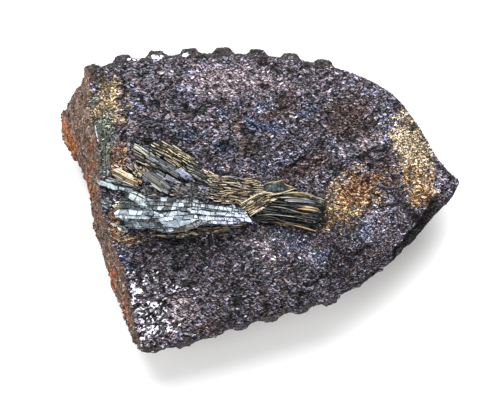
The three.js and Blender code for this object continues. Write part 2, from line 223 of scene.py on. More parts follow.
def startMaterial(name, specular=0.5, roughness=0.5):
    material = bpy.data.materials.new(name)
    material.use_nodes = True
    shader = material.node_tree.nodes["Principled BSDF"]
    wire(shader, {"Specular IOR Level": specular, "Roughness": roughness})
    return material, material.node_tree, shader


def millimetres(tree):
    # the object's own coordinates in millimetres from the middle of the rim
    place = addNode(tree, "ShaderNodeTexCoord")["Object"]
    return addNode(tree, "ShaderNodeMapping",
                   {"Vector": place, "Location": -rimMiddle, "Scale": (1 / mm, 1 / mm, 1 / mm)})


def makeRaggedGroup():
    # noise from -1 to 1 that frays the edges of the patches
    given = startGroup("ragged", Place=None)
    broad = given["Place"].noise(0.55, 4.0, 0.65) - 0.5
    fine = given["Place"].noise(2.4, 2.0, 0.6) - 0.5
    return finishGroup(given, Rough=broad * 2.2 + fine)


def makeStainGroup():
    # a soft-edged patch, frayed where the noise breaks into it
    given = startGroup("stainPatch", Place=None, Rough=0.0, Centre=None, Reach=(1, 1, 1), Turn=0.0,
                       Ragged=0.5, Strength=1.0)
    flat = (given["Place"] - given["Centre"]) * (1, 1, 0)
    aligned = addNode(given.tree, "ShaderNodeVectorRotate",
                      {"Vector": flat, "Angle": given["Turn"]}, rotation_type="Z_AXIS")
    away = addNode(given.tree, "ShaderNodeVectorMath", {0: aligned / given["Reach"]},
                   operation="LENGTH")["Value"]
    mask = (away + given["Rough"] * given["Ragged"]).ranged(1.25, 0.45)
    return finishGroup(given, Mask=mask * given["Strength"])


raggedGroup = makeRaggedGroup()
stainGroup = makeStainGroup()


def stain(place, rough, centre, reach, turn, strength, ragged):
    # turn is how far the patch is turned clockwise, in degrees
    return useGroup(place.tree, stainGroup, Place=place, Rough=rough, Centre=(*centre, 0),
                    Reach=(*reach, 1), Turn=math.radians(turn), Ragged=ragged, Strength=strength)


# What a grain of the crust can look like, as stops of a ramp that its own pick
# from 0 to 1 reads: position, then the colour there. The druse is the crust's own
# and the others show in patches.
druse = [(0.0, 10, 8, 12), (0.2, 28, 25, 33), (0.33, 92, 87, 99), (0.5, 146, 140, 156),
         (0.64, 134, 124, 132), (0.74, 132, 117, 114), (0.84, 92, 96, 122), (1.0, 192, 186, 200)]
crustPalettes = {
    "lilac": [(0.0, 96, 88, 96), (0.35, 164, 147, 151), (0.7, 150, 138, 146), (1.0, 200, 184, 188)],
    "blue": [(0.0, 18, 21, 34), (0.25, 42, 52, 82), (0.5, 74, 90, 120), (0.8, 122, 126, 148),
             (1.0, 168, 178, 204)],
    "brown": [(0.0, 26, 20, 22), (0.3, 76, 60, 60), (0.6, 116, 95, 90), (0.82, 100, 92, 104),
              (1.0, 166, 145, 137)],
    "dark": [(0.0, 22, 20, 24), (0.6, 58, 52, 60), (1.0, 104, 98, 108)],
    "gold": [(0.0, 92, 78, 70), (0.14, 146, 122, 98), (0.3, 190, 166, 132), (0.45, 206, 190, 176),
             (0.58, 214, 190, 140), (0.7, 176, 152, 150), (0.82, 140, 152, 140),
             (1.0, 218, 204, 178)],
    "ochre": [(0.0, 66, 55, 52), (0.2, 98, 82, 74), (0.42, 160, 132, 100), (0.6, 208, 170, 114),
              (0.8, 150, 134, 126), (1.0, 232, 210, 166)],
    "rust": [(0.0, 44, 34, 34), (0.2, 104, 74, 58), (0.42, 164, 114, 72), (0.58, 204, 154, 98),
             (0.72, 120, 96, 88), (0.86, 164, 104, 66), (1.0, 232, 204, 160)],
    "tan": [(0.0, 74, 62, 54), (0.2, 138, 120, 96), (0.42, 176, 156, 118), (0.6, 198, 170, 122),
            (0.76, 160, 138, 124), (0.88, 118, 132, 116), (1.0, 206, 190, 160)],
    "orange": [(0.0, 74, 58, 52), (0.3, 138, 104, 84), (0.5, 176, 132, 98), (0.7, 130, 110, 100),
               (1.0, 206, 184, 158)],
    "teal": [(0.0, 60, 66, 64), (0.35, 104, 114, 108), (0.6, 126, 134, 128), (0.8, 158, 148, 112),
             (1.0, 120, 136, 140)],
}

# Where each palette shows: centre, reach, turn, strength, raggedness.
crustPatches = {
    # the first three lilac patches are partly painted light where the crust faces the lamp, over
    # its own lilac tone
    "lilac": [((-3.0, 17.6), (8.6, 3.2), 4, 0.62, 1.0), ((1.2, -7.4), (5.4, 2.6), 10, 0.6, 1.1),
              ((17.2, 8.6), (2.6, 1.8), 0, 0.6, 1.0), ((-12.6, -16.6), (3.6, 3.2), 0, 0.7, 1.1)],
    "blue": [((-0.2, 12.6), (4.6, 3.0), 0, 0.42, 1.4), ((2.6, 5.2), (5.0, 2.2), 0, 0.34, 1.4),
             ((0.2, 11.2), (4.2, 1.2), 8, 0.75, 1.1), ((-5.4, 8.0), (2.2, 1.4), 0, 0.65, 1.1),
             ((-10.8, 9.8), (2.2, 1.3), 20, 0.6, 1.1), ((7.4, 13.6), (1.6, 1.2), 0, 0.5, 1.1),
             # the narrow blue patch at (19.3, 11.0) is partly painted shadow along the step beside
             # the gold zone
             ((19.3, 11.0), (0.9, 4.2), 0, 0.9, 0.5), ((-19.4, 14.6), (1.5, 2.6), 0, 0.5, 1.0),
             ((4.6, -6.4), (3.4, 3.0), 0, 0.4, 1.2), ((-20.2, -8.4), (1.0, 0.8), 0, 0.9, 0.4),
             ((16.0, -4.6), (1.6, 2.2), -20, 0.5, 1.0), ((9.2, -8.8), (2.4, 1.6), -40, 0.5, 1.0)],
    "brown": [((13.5, 12.4), (4.2, 3.5), 0, 0.95, 0.5), ((4.2, 14.8), (2.0, 1.7), 0, 1.0, 0.6),
              ((-3.2, 11.2), (1.1, 1.6), 0, 0.9, 0.7), ((-1.9, 8.0), (1.6, 2.0), 0, 0.85, 0.8),
              ((2.0, 12.6), (3.2, 0.7), 0, 0.7, 0.9), ((-7.4, -19.0), (3.2, 1.1), -12, 0.9, 0.7),
              ((14.0, -9.6), (5.0, 2.0), -30, 0.5, 0.9), ((6.6, 4.6), (4.8, 1.6), -24, 1.0, 0.7)],
    # the dark patches are painted shade where the crust lies in shadow: inside the lower-right lip,
    # in the gully below the bulge and under the band; the last is the dark grains of the low corner
    "dark": [((24.0, -3.2), (0.75, 6.6), -46, 1.0, 0.3), ((12.9, -10.4), (0.9, 4.0), 38, 0.5, 0.8),
             ((-7.4, -7.4), (8.8, 1.6), 4, 0.6, 0.9), ((-14.0, -8.0), (5.4, 2.6), 10, 0.45, 1.0),
             ((-16.6, -15.6), (4.4, 6.0), 0, 0.6, 0.8)],
    "gold": [((0.9, -16.9), (0.25, 0.7), 20, 1.0, 0.3), ((22.8, 6.9), (2.9, 6.8), -22, 0.95, 0.9)],
    "ochre": [((24.0, 2.6), (2.6, 4.2), -14, 0.85, 0.9), ((13.6, 0.3), (6.0, 3.9), -44, 0.9, 0.8),
              ((10.4, -3.4), (1.8, 1.3), 0, 0.8, 0.9), ((-20.2, -5.6), (3.2, 1.1), 10, 0.8, 0.9)],
    "rust": [((14.6, 1.6), (3.4, 2.3), -50, 0.9, 0.9), ((19.4, 4.0), (3.4, 2.0), -20, 0.4, 1.2),
             ((24.6, 0.8), (1.6, 1.8), 0, 0.5, 1.0), ((-21.8, -3.6), (1.0, 2.6), 8, 0.8, 0.7)],
    "tan": [((23.8, 9.4), (1.2, 5.4), -28, 0.5, 0.9), ((-22.9, 14.0), (3.3, 5.2), 4, 0.9, 1.3),
            ((-24.0, 18.4), (1.8, 1.5), 0, 0.6, 1.1)],
    "orange": [((-21.2, 6.6), (2.0, 3.0), 0, 0.9, 0.9)],
    "teal": [((-23.2, 10.4), (2.1, 2.9), 4, 0.85, 1.3), ((-23.2, 6.4), (1.1, 2.6), 0, 0.7, 1.2),
             ((-24.6, 15.0), (0.8, 1.0), 0, 0.9, 0.5)],
}
warmPalettes = ("gold", "ochre", "rust", "tan", "orange")

# Patches of painted light and shade on the crust, lighter where it faces the lamp and darker where
# it lies in shadow, that also lift or lower its own tone: centre, reach, turn, gain.
paintedLightPatches = {
    "upperMiddle": ((-2.0, 17.6), (9.0, 3.6), 4, 1.2),
    "bulgeCrown": ((3.2, -6.6), (6.4, 3.2), 8, 1.68),
    "rightShoulder": ((20.0, -2.8), (5.4, 4.2), 0, 1.94),
    "goldField": ((22.8, 7.0), (3.6, 7.8), -22, 2.04),
    "upperRight": ((14.4, 17.0), (5.4, 2.6), 8, 1.6),
    "inHollow": ((13.5, 12.2), (4.0, 3.4), 0, 1.12),
    "blueField": ((0.9, 12.6), (5.2, 3.0), 0, 1.33),
    "spot": ((4.2, 14.8), (1.8, 1.5), 0, 0.72),
    "overHollow": ((10.0, 9.0), (3.0, 4.0), 0, 1.15),
    "lowMiddle": ((-1.6, -14.6), (9.0, 4.6), 10, 0.74),
    "lowLeft": ((-13.6, -8.6), (7.4, 4.0), 0, 0.5),
    "underSheaves": ((2.6, -5.0), (7.0, 1.0), -8, 0.6),
    "beside": ((-4.6, 6.6), (5.0, 2.2), -20, 0.72),
    "beak": ((28.6, 2.4), (2.0, 2.4), 0, 1.5),
    "shoulder": ((15.8, -4.2), (1.6, 2.4), -20, 1.4),
    "flank": ((8.8, -8.4), (2.6, 1.6), -40, 1.3),
    "behindLip": ((24.3, -3.5), (0.8, 4.6), -43, 0.25),
    "lowRight": ((15.0, -11.0), (6.0, 2.4), -33, 0.86),
    "valley": ((13.6, -0.2), (5.4, 4.2), -34, 1.38),
    "ridgeBelow": ((3.4, 6.4), (3.6, 0.8), -25, 1.5),
    "tanLeft": ((-22.8, 13.0), (3.2, 5.6), 4, 1.62),
    "upperLeft": ((-15.0, 12.0), (5.6, 6.0), 0, 0.82),
    "topCorner": ((-24.0, 18.6), (2.0, 1.6), 0, 0.7),
    "paleShelf": ((17.4, 8.4), (3.0, 2.2), 0, 1.4),
    "outerShoulder": ((19.6, 13.0), (2.4, 3.2), 0, 1.25),
    "ridgeRight": ((10.0, 6.2), (3.4, 1.5), -20, 1.28),
    "atFan": ((-7.8, 6.4), (1.9, 1.4), 0, 0.68),
    "underBand": ((-10.6, -6.4), (7.0, 1.0), 2, 0.62),
    "belowBulge": ((-0.2, -9.4), (4.2, 1.3), 0, 0.76),
    "lowShoulder": ((12.6, -9.6), (5.0, 2.6), -10, 1.5),
    "valleyFloor": ((17.6, 0.6), (1.8, 1.6), 0, 0.78),
}


def makeCrustGroup():
    # colour of the crust from place, and a tone, pick and crown of each grain, with painted light
    # and shade laid over it
    given = startGroup("crustColour", Place=None, Tone=0.5, Pick=0.5, Crown=1.0, Relief=0.0)
    place, pick = given["Place"], given["Pick"]
    rough = useGroup(given.tree, raggedGroup, Place=place)
    # the druse leans to brown in places and to blue in others
    tint = place.noise(0.7, 4.0, 0.7).ramp([(0.4, 1.0, 0.89, 0.82), (0.6, 0.84, 0.91, 1.0)], linear)
    colour = blend(1.0, pick.ramp(druse), tint, "MULTIPLY")
    lots = addMath("FRACT", pick * 13.7)
    warm = None
    for palette, stops in crustPalettes.items():
        cover = None
        for patch in crustPatches[palette]:
            cover = larger(cover, stain(place, rough, *patch))
        # a grain takes the patch's palette where its lot falls under the cover
        taken = (cover * 1.35 - lots).ranged(0.0, 0.2)
        colour = blend(taken, colour, pick.ramp(stops))
        if palette in warmPalettes:
            warm = larger(warm, taken)
    gain = given["Tone"] * 0.9 + 0.46
    gain *= place.noise(0.35, 3.0, 0.6).ranged(0.3, 0.7, 0.72, 1.25)
    gain *= place.noise(1.1, 2.0, 0.6).ranged(0.34, 0.62, 0.74, 1.14)
    # painted shade: darker in the furrows between lumps, in the creases and along the rim
    gain *= given["Relief"].ranged(-0.85, 0.6, 0.12, 1.2)
    # painted light and shade: each patch brightens or darkens the crust by its gain
    for centre, reach, turn, level in paintedLightPatches.values():
        gain *= stain(place, rough, centre, reach, turn, 1.0, 0.4) * (level - 1) + 1.0
    # painted shade: each grain darker on its lower sides and lighter at its crown
    gain *= given["Crown"].ranged(-0.16, 0.74, 0.1, 1.2)
    return finishGroup(given, Color=dimmed(colour, gain), Warm=warm)


def makeCleavageGroup():
    # fine lines along a lath and fractures across it, in the lath's own millimetres
    given = startGroup("cleavage", Along=None, Lines=6.0, Cracks=1.0, Wide=0.05)
    tree = given.tree
    parts = addNode(tree, "ShaderNodeSeparateXYZ", {0: given["Along"]})
    u, v, w = parts[0], parts[1], parts[2]
    lines = addNode(tree, "ShaderNodeCombineXYZ", {0: u * 0.45, 1: v * given["Lines"], 2: w})
    lines = lines.noise(1.0, 3.0, 0.6)
    bent = addNode(tree, "ShaderNodeCombineXYZ", {0: u + v * 0.25, 1: v * 0.7, 2: w})
    sway = bent.noise(2.2, 2.0, 0.5)["Color"]
    bent += addNode(tree, "ShaderNodeVectorMath", {0: sway, "Scale": 0.28}, operation="SCALE")

    def net(perMm, uneven):
        return addNode(tree, "ShaderNodeTexVoronoi",
                       {"Vector": bent, "Scale": perMm, "Randomness": uneven},
                       feature="DISTANCE_TO_EDGE")["Distance"]

    cracks = (net(given["Cracks"], 0.85) / given["Wide"]).ranged(1.0, 0.3)
    cracks *= bent.noise(0.9, 2.0).ranged(0.42, 0.58)
    crazed = bent.noise(0.6, 2.0).ranged(0.55, 0.64) * 0.75
    cracks = larger(cracks, net(given["Cracks"] * 2.7, 0.9).ranged(0.2, 0.07) * crazed)
    return finishGroup(given, Lines=lines, Cracks=cracks, Height=lines * 0.6 - cracks * 1.2)


crustGroup = makeCrustGroup()
cleavageGroup = makeCleavageGroup()
print("shader groups made")


def linkObject(name, data):
    piece = bpy.data.objects.new(name, data)
    bpy.context.scene.collection.objects.link(piece)
    return piece


def meshObject(name, bm):
    mesh = bpy.data.meshes.new(name)
    bm.to_mesh(mesh)
    bm.free()
    return linkObject(name, mesh)


def applyModifiers(piece):
    graph = bpy.context.evaluated_depsgraph_get()
    made = bpy.data.meshes.new_from_object(piece.evaluated_get(graph), depsgraph=graph)
    piece.modifiers.clear()
    piece.data = made


def nodeCopy(node, name):
    # a merged copy of a CAD node, in millimetres
    bm = bmesh.new()
    bm.from_mesh(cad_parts[node].data)
    bmesh.ops.scale(bm, vec=(1 / mm, 1 / mm, 1 / mm), verts=bm.verts)
    bmesh.ops.remove_doubles(bm, verts=bm.verts, dist=0.002)
    return meshObject(name, bm)


def finishPiece(piece, material, slot, *nodes):
    piece.data.transform(Matrix.Scale(mm, 4))
    piece.data.materials.clear()
    piece.data.materials.append(material)
    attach(piece, "root")
    if nodes:
        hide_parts(*nodes)
    print(piece.name, len(piece.data.polygons), "faces")


# Where the crystal groups stand on the upper face, as outlines of the plan.
beds = {
    "strawFan": [(-16.3, 7.0), (-16.3, 7.9), (-15.9, 8.5), (-14.3, 8.7), (-12.5, 8.0),
                 (-11.3, 7.3), (-10.0, 6.5), (-9.2, 5.6), (-8.5, 4.6), (-7.1, 3.1), (-7.1, 2.3),
                 (-9.8, 3.2), (-12.4, 4.5), (-14.0, 5.7), (-15.3, 6.5)],
    "longBlade": [(-18.9, 7.9), (-18.7, 8.3), (-17.6, 7.85), (-16.2, 7.0), (-14.5, 6.0),
                  (-12.8, 4.95), (-11.3, 4.3), (-9.7, 3.2), (-9.9, 2.7), (-11.9, 3.4),
                  (-13.4, 4.25), (-14.9, 5.25), (-16.7, 6.25), (-18.2, 7.45)],
    "underFan": [(-19.1, 7.8), (-18.6, 6.6), (-18.2, 5.8), (-17.1, 5.1), (-14.9, 4.6),
                 (-13.4, 4.0), (-11.4, 2.8), (-13.9, 4.9), (-16.4, 6.4), (-18.2, 7.5)],
    "fibres": [(-19.9, 5.4), (-18.2, 5.1), (-17.0, 4.8), (-16.2, 4.2), (-17.4, 3.4), (-18.3, 3.5),
               (-19.1, 4.3)],
    "greyBlade": [(-17.6, 3.4), (-17.1, 4.2), (-16.0, 4.1), (-14.7, 3.3), (-13.5, 2.4),
                  (-13.2, 1.6), (-13.5, 0.9), (-14.3, 1.1), (-15.3, 1.8), (-16.4, 2.5),
                  (-17.3, 2.9)],
    "greyStrip": [(-16.0, 4.4), (-14.9, 4.4), (-13.5, 3.8), (-12.0, 3.0), (-12.1, 2.4),
                  (-13.4, 2.6), (-15.0, 3.6)],
    "rubble": [(-13.4, 2.6), (-12.1, 2.5), (-9.9, 2.8), (-7.0, 2.3), (-6.9, 0.0), (-10.1, -0.1),
               (-12.4, 0.1), (-14.0, 0.2), (-15.9, 0.1), (-17.2, 0.3), (-17.7, 2.0), (-16.4, 2.2),
               (-13.6, 0.8), (-13.0, 1.4)],
    "goldenBlade": [(-22.0, 4.5), (-21.3, 4.7), (-19.6, 4.0), (-18.6, 3.4), (-17.5, 2.8),
                    (-17.5, 2.3), (-18.6, 2.0), (-20.1, 2.6), (-21.3, 3.2), (-21.9, 3.7)],
    "greyLaths": [(-23.2, 3.3), (-22.0, 3.3), (-19.6, 2.5), (-17.5, 1.9), (-17.5, 1.3),
                  (-19.4, 1.4), (-21.2, 2.1), (-22.9, 2.8)],
    "paleSliver": [(-24.0, 2.4), (-23.6, 2.8), (-22.4, 2.5), (-21.3, 2.0), (-19.4, 1.5),
                   (-19.4, 1.1), (-21.6, 1.4), (-22.8, 1.7), (-23.8, 2.0)],
    "band": [(-21.8, -1.6), (-20.6, -0.2), (-19.3, 1.1), (-17.6, 0.7), (-16.8, 0.2), (-13.6, 0.2),
             (-10.0, -0.2), (-7.6, -0.8), (-3.9, -1.0), (-2.2, -1.6), (-1.1, -3.3), (-3.2, -3.5),
             (-7.2, -3.9), (-8.9, -4.1), (-10.9, -4.7), (-13.5, -5.1), (-16.6, -4.4),
             (-19.6, -4.3), (-20.2, -3.2), (-21.4, -2.7)],
    "lip": [(-16.2, -4.9), (-13.6, -5.3), (-10.9, -4.9), (-8.9, -4.2), (-3.9, -3.7), (-1.7, -3.5),
            (-2.6, -4.2), (-5.1, -4.8), (-7.6, -5.1), (-10.5, -5.4), (-12.0, -5.8),
            (-16.0, -5.5)],
    "brownSheaf": [(-7.4, 3.7), (-6.4, 3.9), (-4.5, 3.7), (-2.9, 3.3), (-1.4, 3.6), (-0.1, 2.8),
                   (0.9, 2.3), (0.9, 0.9), (-0.8, 0.2), (-1.9, -0.3), (-3.0, -0.8), (-4.5, -0.7),
                   (-5.7, -0.4), (-7.2, 0.1), (-7.4, 2.0)],
    "goldFan": [(-3.1, -0.6), (-1.9, 0.0), (-0.8, 0.5), (0.6, 0.9), (2.0, 0.9), (3.8, 1.2),
                (5.4, 1.7), (5.4, 1.45), (3.8, 0.9), (2.6, 0.5), (2.1, 0.0), (0.7, -0.9),
                (-0.4, -1.9), (-1.1, -2.4), (-1.7, -1.8), (-2.7, -1.2)],
    "tealLens": [(0.7, 1.9), (1.5, 2.5), (2.3, 2.6), (3.6, 2.8), (4.1, 2.2), (5.0, 1.8),
                 (4.2, 1.2), (3.0, 0.8), (2.0, 0.8), (1.1, 1.1)],
    "rightSheaf": [(-0.8, -2.9), (0.0, -1.7), (1.0, -0.9), (2.1, 0.0), (3.1, 0.6), (4.2, 1.0),
                   (5.5, 1.1), (6.7, 0.9), (7.9, 0.5), (9.2, 0.3), (10.0, -0.3), (9.8, -1.3),
                   (9.5, -2.3), (8.9, -3.2), (7.7, -4.1), (7.0, -4.2), (5.4, -3.8), (3.6, -3.6),
                   (1.7, -3.5), (0.1, -3.4)],
}


def underCrystals(x, y):
    return any(inside(outline, x, y) for outline in beds.values())


rock = {
    "voxel": 0.26,  # mm
    "smoothing": 7,
    "rimSmoothing": 3,
    "rimKept": 0.9,  # how near the rim its ribs stay sharp
    "knobs": (0.34, 1.1),  # rise and size of the crust's rounded lumps
    "ripple": (0.14, 2.4),
    "breakRough": (0.30, 1.4),
    "breakGrit": (0.13, 0.5),
    "breakBulge": 0.45,
    "backWave": (0.10, 3.0),
    "backGrit": (0.16, 0.46),
    "growthStep": 1.25,  # between growth lines of the shell
    "growthRise": 0.15,
    "ribRise": 0.5,
    "umbo": at(19.5, 2.2, 5.0),
    "rimFrom": 9.5,  # lowest height of the rim's walls
    "topFrom": 8.5,  # lowest height of the upper face
    "sizeSpread": 0.25,  # how much the grains' size differs where they are coarse or fine
    "crystalSpan": (-25, 11, -7, 10),  # the crystals lie within, as x and y
    "rimFoot": 10.2,  # how far down the rim the crust reaches
    "breakFoot": 4.9,  # lowest height of the broken face
}

# Where the broken face meets the upper face, as y and x, and patches of the
# upper face where the grains are coarse or fine: centre and reach.
breakEdge = [(26.0, -24.7), (20.3, -26.2), (18.4, -25.1), (14.9, -25.3), (12.6, -25.2),
             (9.6, -24.3), (5.6, -23.8), (2.5, -23.9), (-2.0, -23.4), (-5.6, -22.2),
             (-11.9, -19.8), (-18.6, -18.5), (-21.6, -17.9), (-26.0, -17.2)]
coarsePatches = [((-15.0, 13.0), (9.0, 8.0)), ((-15.0, -15.0), (7.0, 8.0)),
                 ((-4.0, 9.0), (6.0, 4.0))]
finePatches = [((12.0, -7.0), (12.0, 6.0)), ((22.5, 8.0), (4.0, 9.0)), ((24.0, -2.0), (6.0, 4.0)),
               ((-23.2, 11.0), (2.2, 8.0))]
# Where the ground is made white: between the grains of the low corner, and under the rim.
whiteCorner = ((-15.8, -16.0), (4.8, 5.8))
whiteRim = [((-18.8, 21.1), (0.9, 0.25)), ((-15.2, 21.4), (1.1, 0.4)), ((-11.0, 21.7), (0.7, 0.28))]
whiteSpots = [((-18.3, -13.6), (0.8, 0.5)), ((-15.8, -15.7), (0.9, 0.5)),
             ((-17.6, -18.3), (0.5, 0.4))]
# Creases of the upper face: line, half width, depth, and the painted shade on their floor.
creases = [
    ([(26.6, -0.4), (24.5, -3.3), (22.2, -6.2), (20.6, -7.8)], 0.6, 0.45, 1.0),
    ([(17.4, 1.6), (16.6, -2.0), (15.1, -2.8)], 0.4, 0.3, 0.6),
    ([(10.7, -6.2), (11.6, -7.5), (13.1, -8.3), (15.1, -8.0), (16.4, -7.2)], 0.45, 0.35, 0.6),
    ([(6.6, -14.2), (8.4, -12.7), (10.0, -11.4), (11.5, -9.6), (13.4, -8.8)], 0.8, 0.4, 0.45),
    ([(4.0, 4.6), (6.5, 5.9), (9.3, 5.6), (12.4, 4.5), (14.0, 5.6), (17.3, 7.3), (19.3, 7.6)],
     0.45, 0.35, 0.6),
    ([(-20.0, 19.9), (-20.2, 14.0), (-20.1, 9.2)], 0.45, 0.2, 0.5),
    ([(-15.0, -6.2), (-8.0, -6.3), (-1.0, -5.1)], 0.7, 0.3, 0.5),
]

# Bearings of the shell's ribs from the place where they start.
umboPlan = (19.5, 2.2)
ribBearings = [96, 107, 118.6, 127.9, 135.4, 141.5, 146.6, 151.1, 154.9, 159.1, 163.9, 169, 174.2,
               179.5, 184.9, 190.3, 195.6, 201, 206, 211, 215, 218, 220.7, 223.6, 228.4, 234.8,
               243.3, 254, 266]


def edgeAt(y):
    for (ya, xa), (yb, xb) in zip(breakEdge, breakEdge[1:]):
        if y >= yb:
            return mix(xa, xb, min(max((ya - y) / (ya - yb), 0.0), 1.0))
    return breakEdge[-1][1]


def within(patches, x, y):
    # 1 inside a patch, down to 0 outside it
    nearest = min(math.hypot((x - c[0]) / r[0], (y - c[1]) / r[1]) for c, r in patches)
    return smooth(1.2, 0.6, nearest)


def creaseAt(x, y):
    # depth of the creases at a place of the upper face, and their painted shade
    sway = noise.noise_vector(Vector((x, y, 0)) * 0.8)
    here = Vector((x + sway.x * 0.5, y + sway.y * 0.5))
    depth = shade = 0.0
    for line, width, drop, dark in creases:
        for a, b in zip(line, line[1:]):
            start, run = Vector(a), Vector(b) - Vector(a)
            share = min(max((here - start).dot(run) / run.length_squared, 0.0), 1.0)
            away = (here - start - run * share).length
            if away < width * 2:
                close = math.exp(-(away / width) ** 2 * 1.6)
                depth, shade = max(depth, drop * close), max(shade, dark * close)
    return depth, shade


def ribAt(x, y):
    # 1 on top of a rib of the shell's back, down to 0 in the furrow beside it
    bearing = math.degrees(math.atan2(y - umboPlan[1], x - umboPlan[0])) % 360
    for a, b in zip(ribBearings, ribBearings[1:]):
        if a <= bearing <= b:
            off = min(bearing - a, b - bearing) / (b - a)
            return 1 - smooth(0.2, 0.36, off)
    return 0.0


def noiseAt(place, rise, size, seed=0.0):
    return rise * noise.noise(place / size + Vector((seed, seed * 0.7, -seed)))


def knobAt(place, size):
    # rounded lumps that meet in sharp furrows, from about -1 to 1
    bent = place / size + noise.noise_vector(place * 0.9) * 0.35
    return 1 - 2.6 * noise.voronoi(bent)[0][0] ** 2


def rimTree(bm):
    walls = [v.co for v in bm.verts if v.normal.z < 0.1 and v.co.z > rock["rimFrom"]]
    tree = KDTree(len(walls))
    for k, co in enumerate(walls):
        tree.insert((co.x, co.y, 0), k)
    tree.balance()
    return tree


def whiteAt(p, n, x, y, top):
    # how white the ground is made, and how much of the crust it leaves
    whiteness = within([whiteCorner], x, y)
    if whiteness > 0:
        holes = noiseAt(p, 0.45, 1.8, 12.0) + noiseAt(p, 1.3, 0.42, 14.0)
        nearEdge = smooth(6.0, 0.5, x - edgeAt(y))
        spot = within(whiteSpots, x, y)
        white = top * smooth(0.0, 0.25, holes + 0.5 * whiteness + 0.22 * nearEdge + 0.9 * spot - 0.7)
        return white, 1 - max(0.5, spot) * white
    whiteness = within(whiteRim, x, y) if y > 19 else 0.0
    if whiteness > 0:
        white = smooth(0.35, 0.75, n.z) * smooth(0.5, 0.9, whiteness + noiseAt(p, 1.9, 0.36, 15.0))
        return white, 1 - white
    return 0.0, 1.0


def breakLift(p, n, y):
    tear = Vector((p.x, p.y * 0.8, p.z * 1.6))
    lift = noiseAt(tear, *rock["breakRough"], 7.0) + noiseAt(p, *rock["breakGrit"], 9.0)
    bulge = math.exp(-((y - 12.5) / 4.5) ** 2) * smooth(0.2, -0.4, n.x)
    return lift + rock["breakBulge"] * bulge


def backLift(p, rib, fromUmbo):
    growth = rock["growthRise"] * math.cos(math.tau * fromUmbo / rock["growthStep"])
    lift = growth + noiseAt(p, *rock["backWave"], 5.0) + noiseAt(p, *rock["backGrit"], 6.0)
    return lift + rock["ribRise"] * (rib - 0.6) * smooth(11.0, 9.0, p.z)


def shapeRock():
    piece = nodeCopy("matrix", "matrix_rock")
    remesh = piece.modifiers.new("remesh", "REMESH")
    remesh.mode = "VOXEL"
    remesh.voxel_size = rock["voxel"]
    applyModifiers(piece)
    bm = bmesh.new()
    bm.from_mesh(piece.data)
    walls = rimTree(bm)
    field = [v for v in bm.verts if walls.find((v.co.x, v.co.y, 0))[2] > rock["rimKept"]]
    for k in range(rock["smoothing"]):
        verts = bm.verts if k < rock["rimSmoothing"] else field
        bmesh.ops.smooth_vert(bm, verts=verts, factor=0.5, use_axis_x=True, use_axis_y=True,
                              use_axis_z=True)
    bm.normal_update()
    bm.to_mesh(piece.data)
    bedTree = BVHTree.FromPolygons([v.co for v in piece.data.vertices],
                                   [p.vertices for p in piece.data.polygons])
    masks = ("topFace", "brokenFace", "grainCover", "fineCover", "grainSize", "shadeRelief", "white",
             "rib")
    layers = {name: bm.verts.layers.float.new(name) for name in masks}
    foot, knobRise, knobSize = rock["breakFoot"], *rock["knobs"]
    west, east, south, north = rock["crystalSpan"]
    topFrom, spread = rock["topFrom"], rock["sizeSpread"]
    for v in bm.verts:
        p, n = v.co.copy(), v.normal.copy()
        x, y = p.x - rimMiddle.x, p.y - rimMiddle.y
        fromRim = walls.find((p.x, p.y, 0))[2]
        # which face this is, and how much of the crust covers it
        broken = smooth(-0.05, 0.2, edgeAt(y) - x) * smooth(foot, foot + 0.5, p.z)
        broken *= smooth(0.5, 0.1, n.x) * smooth(21.6, 20.8, y)
        openRim = smooth(9.0, 14.0, x) * smooth(0.0, 3.0, y)
        rimFoot = rock["rimFoot"] - openRim
        rimTop = smooth(-0.25, 0.1 - 0.2 * openRim, n.z) * smooth(rimFoot, rimFoot + 0.7, p.z)
        upper = smooth(0.05, 0.3, n.z) * smooth(topFrom, topFrom + 1.1, p.z)
        top = max(upper, rimTop) * (1 - broken)
        buried = top > 0 and west < x < east and south < y < north and underCrystals(x, y)
        white, left = whiteAt(p, n, x, y, top)
        cover = 0.0 if buried else top * left
        fine = within(finePatches, x, y)
        coarse = within(coarsePatches, x, y) * (1 - fine)
        v[layers["topFace"]], v[layers["brokenFace"]], v[layers["white"]] = top, broken, white
        v[layers["grainCover"]] = cover * max(smooth(0.0, 0.35, fromRim), openRim)
        v[layers["fineCover"]] = cover
        v[layers["grainSize"]] = 1.0 + spread * (coarse - fine)
        rest = max(0.0, 1 - top - broken)
        lift = 0.0
        if cover > 0:
            knob = knobAt(p, knobSize * mix(0.7, 1.0, coarse))
            depth, shade = creaseAt(x, y)
            rimShade = smooth(0.7, 0.1, fromRim) * (1 - openRim) if p.z > rock["rimFrom"] else 0.0
            # the shade relief is painted shade: low in the furrows between lumps, lower still in
            # the creases and along the rim
            v[layers["shadeRelief"]] = (knob * mix(mix(1.0, 0.5, fine), 1.6, coarse)
                                   - 1.5 * shade - 0.2 * rimShade)
            held = smooth(0.0, 1.0, fromRim)
            lift += held * cover * knobRise * mix(mix(0.45, 0.25, fine), 0.75, coarse) * knob
            lift += held * top * (noiseAt(p, *rock["ripple"]) - depth)
        if broken > 0:
            lift += broken * breakLift(p, n, y)
        if rest > 0:
            fromUmbo = (p - rock["umbo"]).length + noiseAt(p, 0.7, 4.0, 2.0)
            rib = ribAt(x + noiseAt(p, 0.5, 5.0, 3.0), y) * smooth(3.0, 9.0, fromUmbo)
            v[layers["rib"]] = rib
            # the worn patch stays flat
            lift += rest * backLift(p, rib, fromUmbo) * (smooth(0.0, 0.25, p.z) if n.z < 0 else 1.0)
        v.co = p + n * lift
        v.co.z = max(v.co.z, 0.0)
    bm.to_mesh(piece.data)
    bm.free()
    return piece, bedTree


rockPiece, bedTree = shapeRock()
print("rock shaped")


